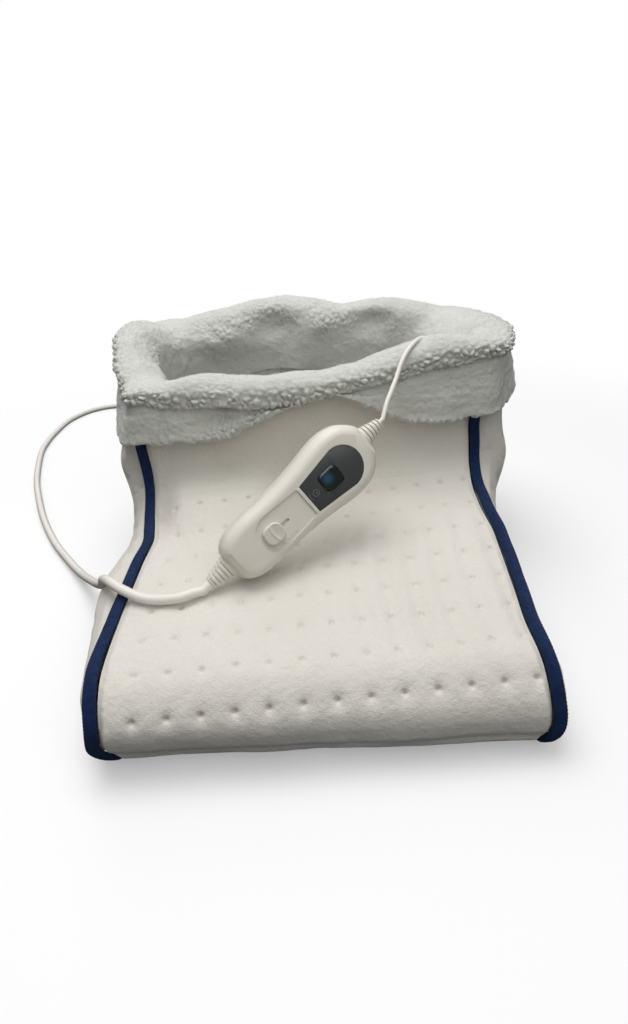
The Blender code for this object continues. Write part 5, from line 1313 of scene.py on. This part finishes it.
def strain_relief(word, way, half, tip):
    """A tapered oval sleeve with narrow slits across it, and a collar on the housing."""
    wall = CONTROLLER_LENGTH / 2
    turn = np.linspace(0, 2 * math.pi, 48, endpoint=False)
    stations = [(wall - 0.0035, 0.9 * half[0], 0.9 * half[1]), (wall + GAP, *half), (wall + 0.0008, *half)]
    pitch = RELIEF_LENGTH / (SLITS + 0.6)
    for k in range(1, SLITS + 1):
        place = wall + pitch * k
        share = (pitch * k / RELIEF_LENGTH) ** 0.9
        wide, thick = (h + (tip - h) * share for h in half)
        for step, depth in SLIT_STEPS:
            stations.append((place + step * SLIT_HALF, wide - depth, thick - depth))
    end = wall + RELIEF_LENGTH
    stations += [(end - 0.0004, tip, tip), (end, tip - 0.0004, tip - 0.0004)]
    rings = [np.stack([np.full(48, way * place), wide * np.cos(turn), thick * np.sin(turn)], axis=1)
             for place, wide, thick in stations]
    put_on_controller(loft(f"sleeve_{word}", rings, shell_look), BOOT, f"{word}_relief")


strain_relief("mains", -1, (0.0086, 0.0062), MAINS_DIAMETER / 2 + 0.0012)
strain_relief("lead", 1, (0.0078, 0.0056), LEAD_DIAMETER / 2 + 0.0018)
print("strain reliefs made")

# %% Looks of the CAD pieces that stay
CAD_LOOKS = {
    cord_look: ["plug_body", "lead_tail", "wire_junction"],
    tie_look: ["coil_tie", "thermal_cutout_left", "thermal_cutout_right"],
    felt_look: ["heater_felt", "wadding"],
    brass_look: ["contact_bank", "slide_contact", "plug_pin_left", "plug_pin_right"],
    steel_look: [f"case_screw_{k}" for k in range(1, 5)],
    wire_look: ["heating_wire"],
    glass_tube_look: ["fuse"],
    board_look: ["circuit_board"],
    capacitor_look: ["film_capacitor"],
    chip_look: ["triac"]}
for look, names in CAD_LOOKS.items():
    for name in names:
        dressed(bpy.data.objects[name], look)
print("looks given to", sum(len(names) for names in CAD_LOOKS.values()))

# %% Look of the cords
for piece in (mains_lead, thin_lead):
    dressed(piece, cord_look)
    piece.data.shade_smooth()

# %% [markdown]
# The floor is plain and almost white where the camera looks, and keeps the soft shadow of the boot.

# %% Floor, light and world
FLOOR_CORNERS = [(-1.3, -1.3, 0), (1.3, -1.3, 0), (1.3, 1.3, 0), (-1.3, 1.3, 0)]
FLOOR_DROP, LIGHT_AIM = 0.0005, (0, 0, 0.08)
floor_mesh = bpy.data.meshes.new("floor")
floor_mesh.from_pydata(FLOOR_CORNERS, [], [(0, 1, 2, 3)])
floor = link(bpy.data.objects.new("floor", floor_mesh))
floor.location.z = -FLOOR_DROP
look, tree, surface = material("floor", Roughness=1.0, Specular_IOR_Level=0.0)
seen = node(tree, "LightPath").outputs["Is Camera Ray"]
tree.links.new(mixed(tree, seen, (0.04, 0.04, 0.04), (0.93, 0.93, 0.93)), surface.inputs["Base Color"])
away = node(tree, "VectorMath", operation="LENGTH")
tree.links.new(node(tree, "TexCoord").outputs["Object"], away.inputs[0])
far_away = ranged(tree, away.outputs["Value"], smooth=True, From_Min=0.30, From_Max=0.75,
                  To_Min=0.30, To_Max=1.0)
share = node(tree, "Math", operation="MULTIPLY")
tree.links.new(far_away, share.inputs[0])
tree.links.new(seen, share.inputs[1])
blend = node(tree, "MixShader")
for k, socket in enumerate((share.outputs[0], surface.outputs[0],
                            values(node(tree, "Emission"), Strength=1.0).outputs[0])):
    tree.links.new(socket, blend.inputs[k])
tree.links.new(blend.outputs[0], tree.nodes["Material Output"].inputs["Surface"])
floor_mesh.materials.append(look)
world = bpy.data.worlds.new("world")
world.use_nodes = True
sky, tree = world.node_tree.nodes["Background"], world.node_tree
sky.inputs["Color"].default_value = (1, 1, 1, 1)
seen = node(tree, "LightPath").outputs["Is Camera Ray"]
tree.links.new(ranged(tree, seen, To_Min=0.26, To_Max=1.0), sky.inputs["Strength"])
bpy.context.scene.world = world


def area_light(name, place, size, power):
    lamp = bpy.data.lights.new(name, "AREA")
    lamp.energy, lamp.size = power, size
    holder = link(bpy.data.objects.new(name, lamp))
    holder.location = place
    way = Vector(LIGHT_AIM) - Vector(place)
    holder.rotation_euler = way.to_track_quat("-Z", "Y").to_euler()


area_light("key", (-0.16, 0.12, 1.30), 0.9, 11.8)
area_light("fill", (0.32, -0.72, 1.12), 1.1, 5.0)
area_light("back", (-0.5, 1.15, 0.75), 0.9, 3.2)
bpy.context.scene.view_settings.view_transform = "Standard"
print("stage made")
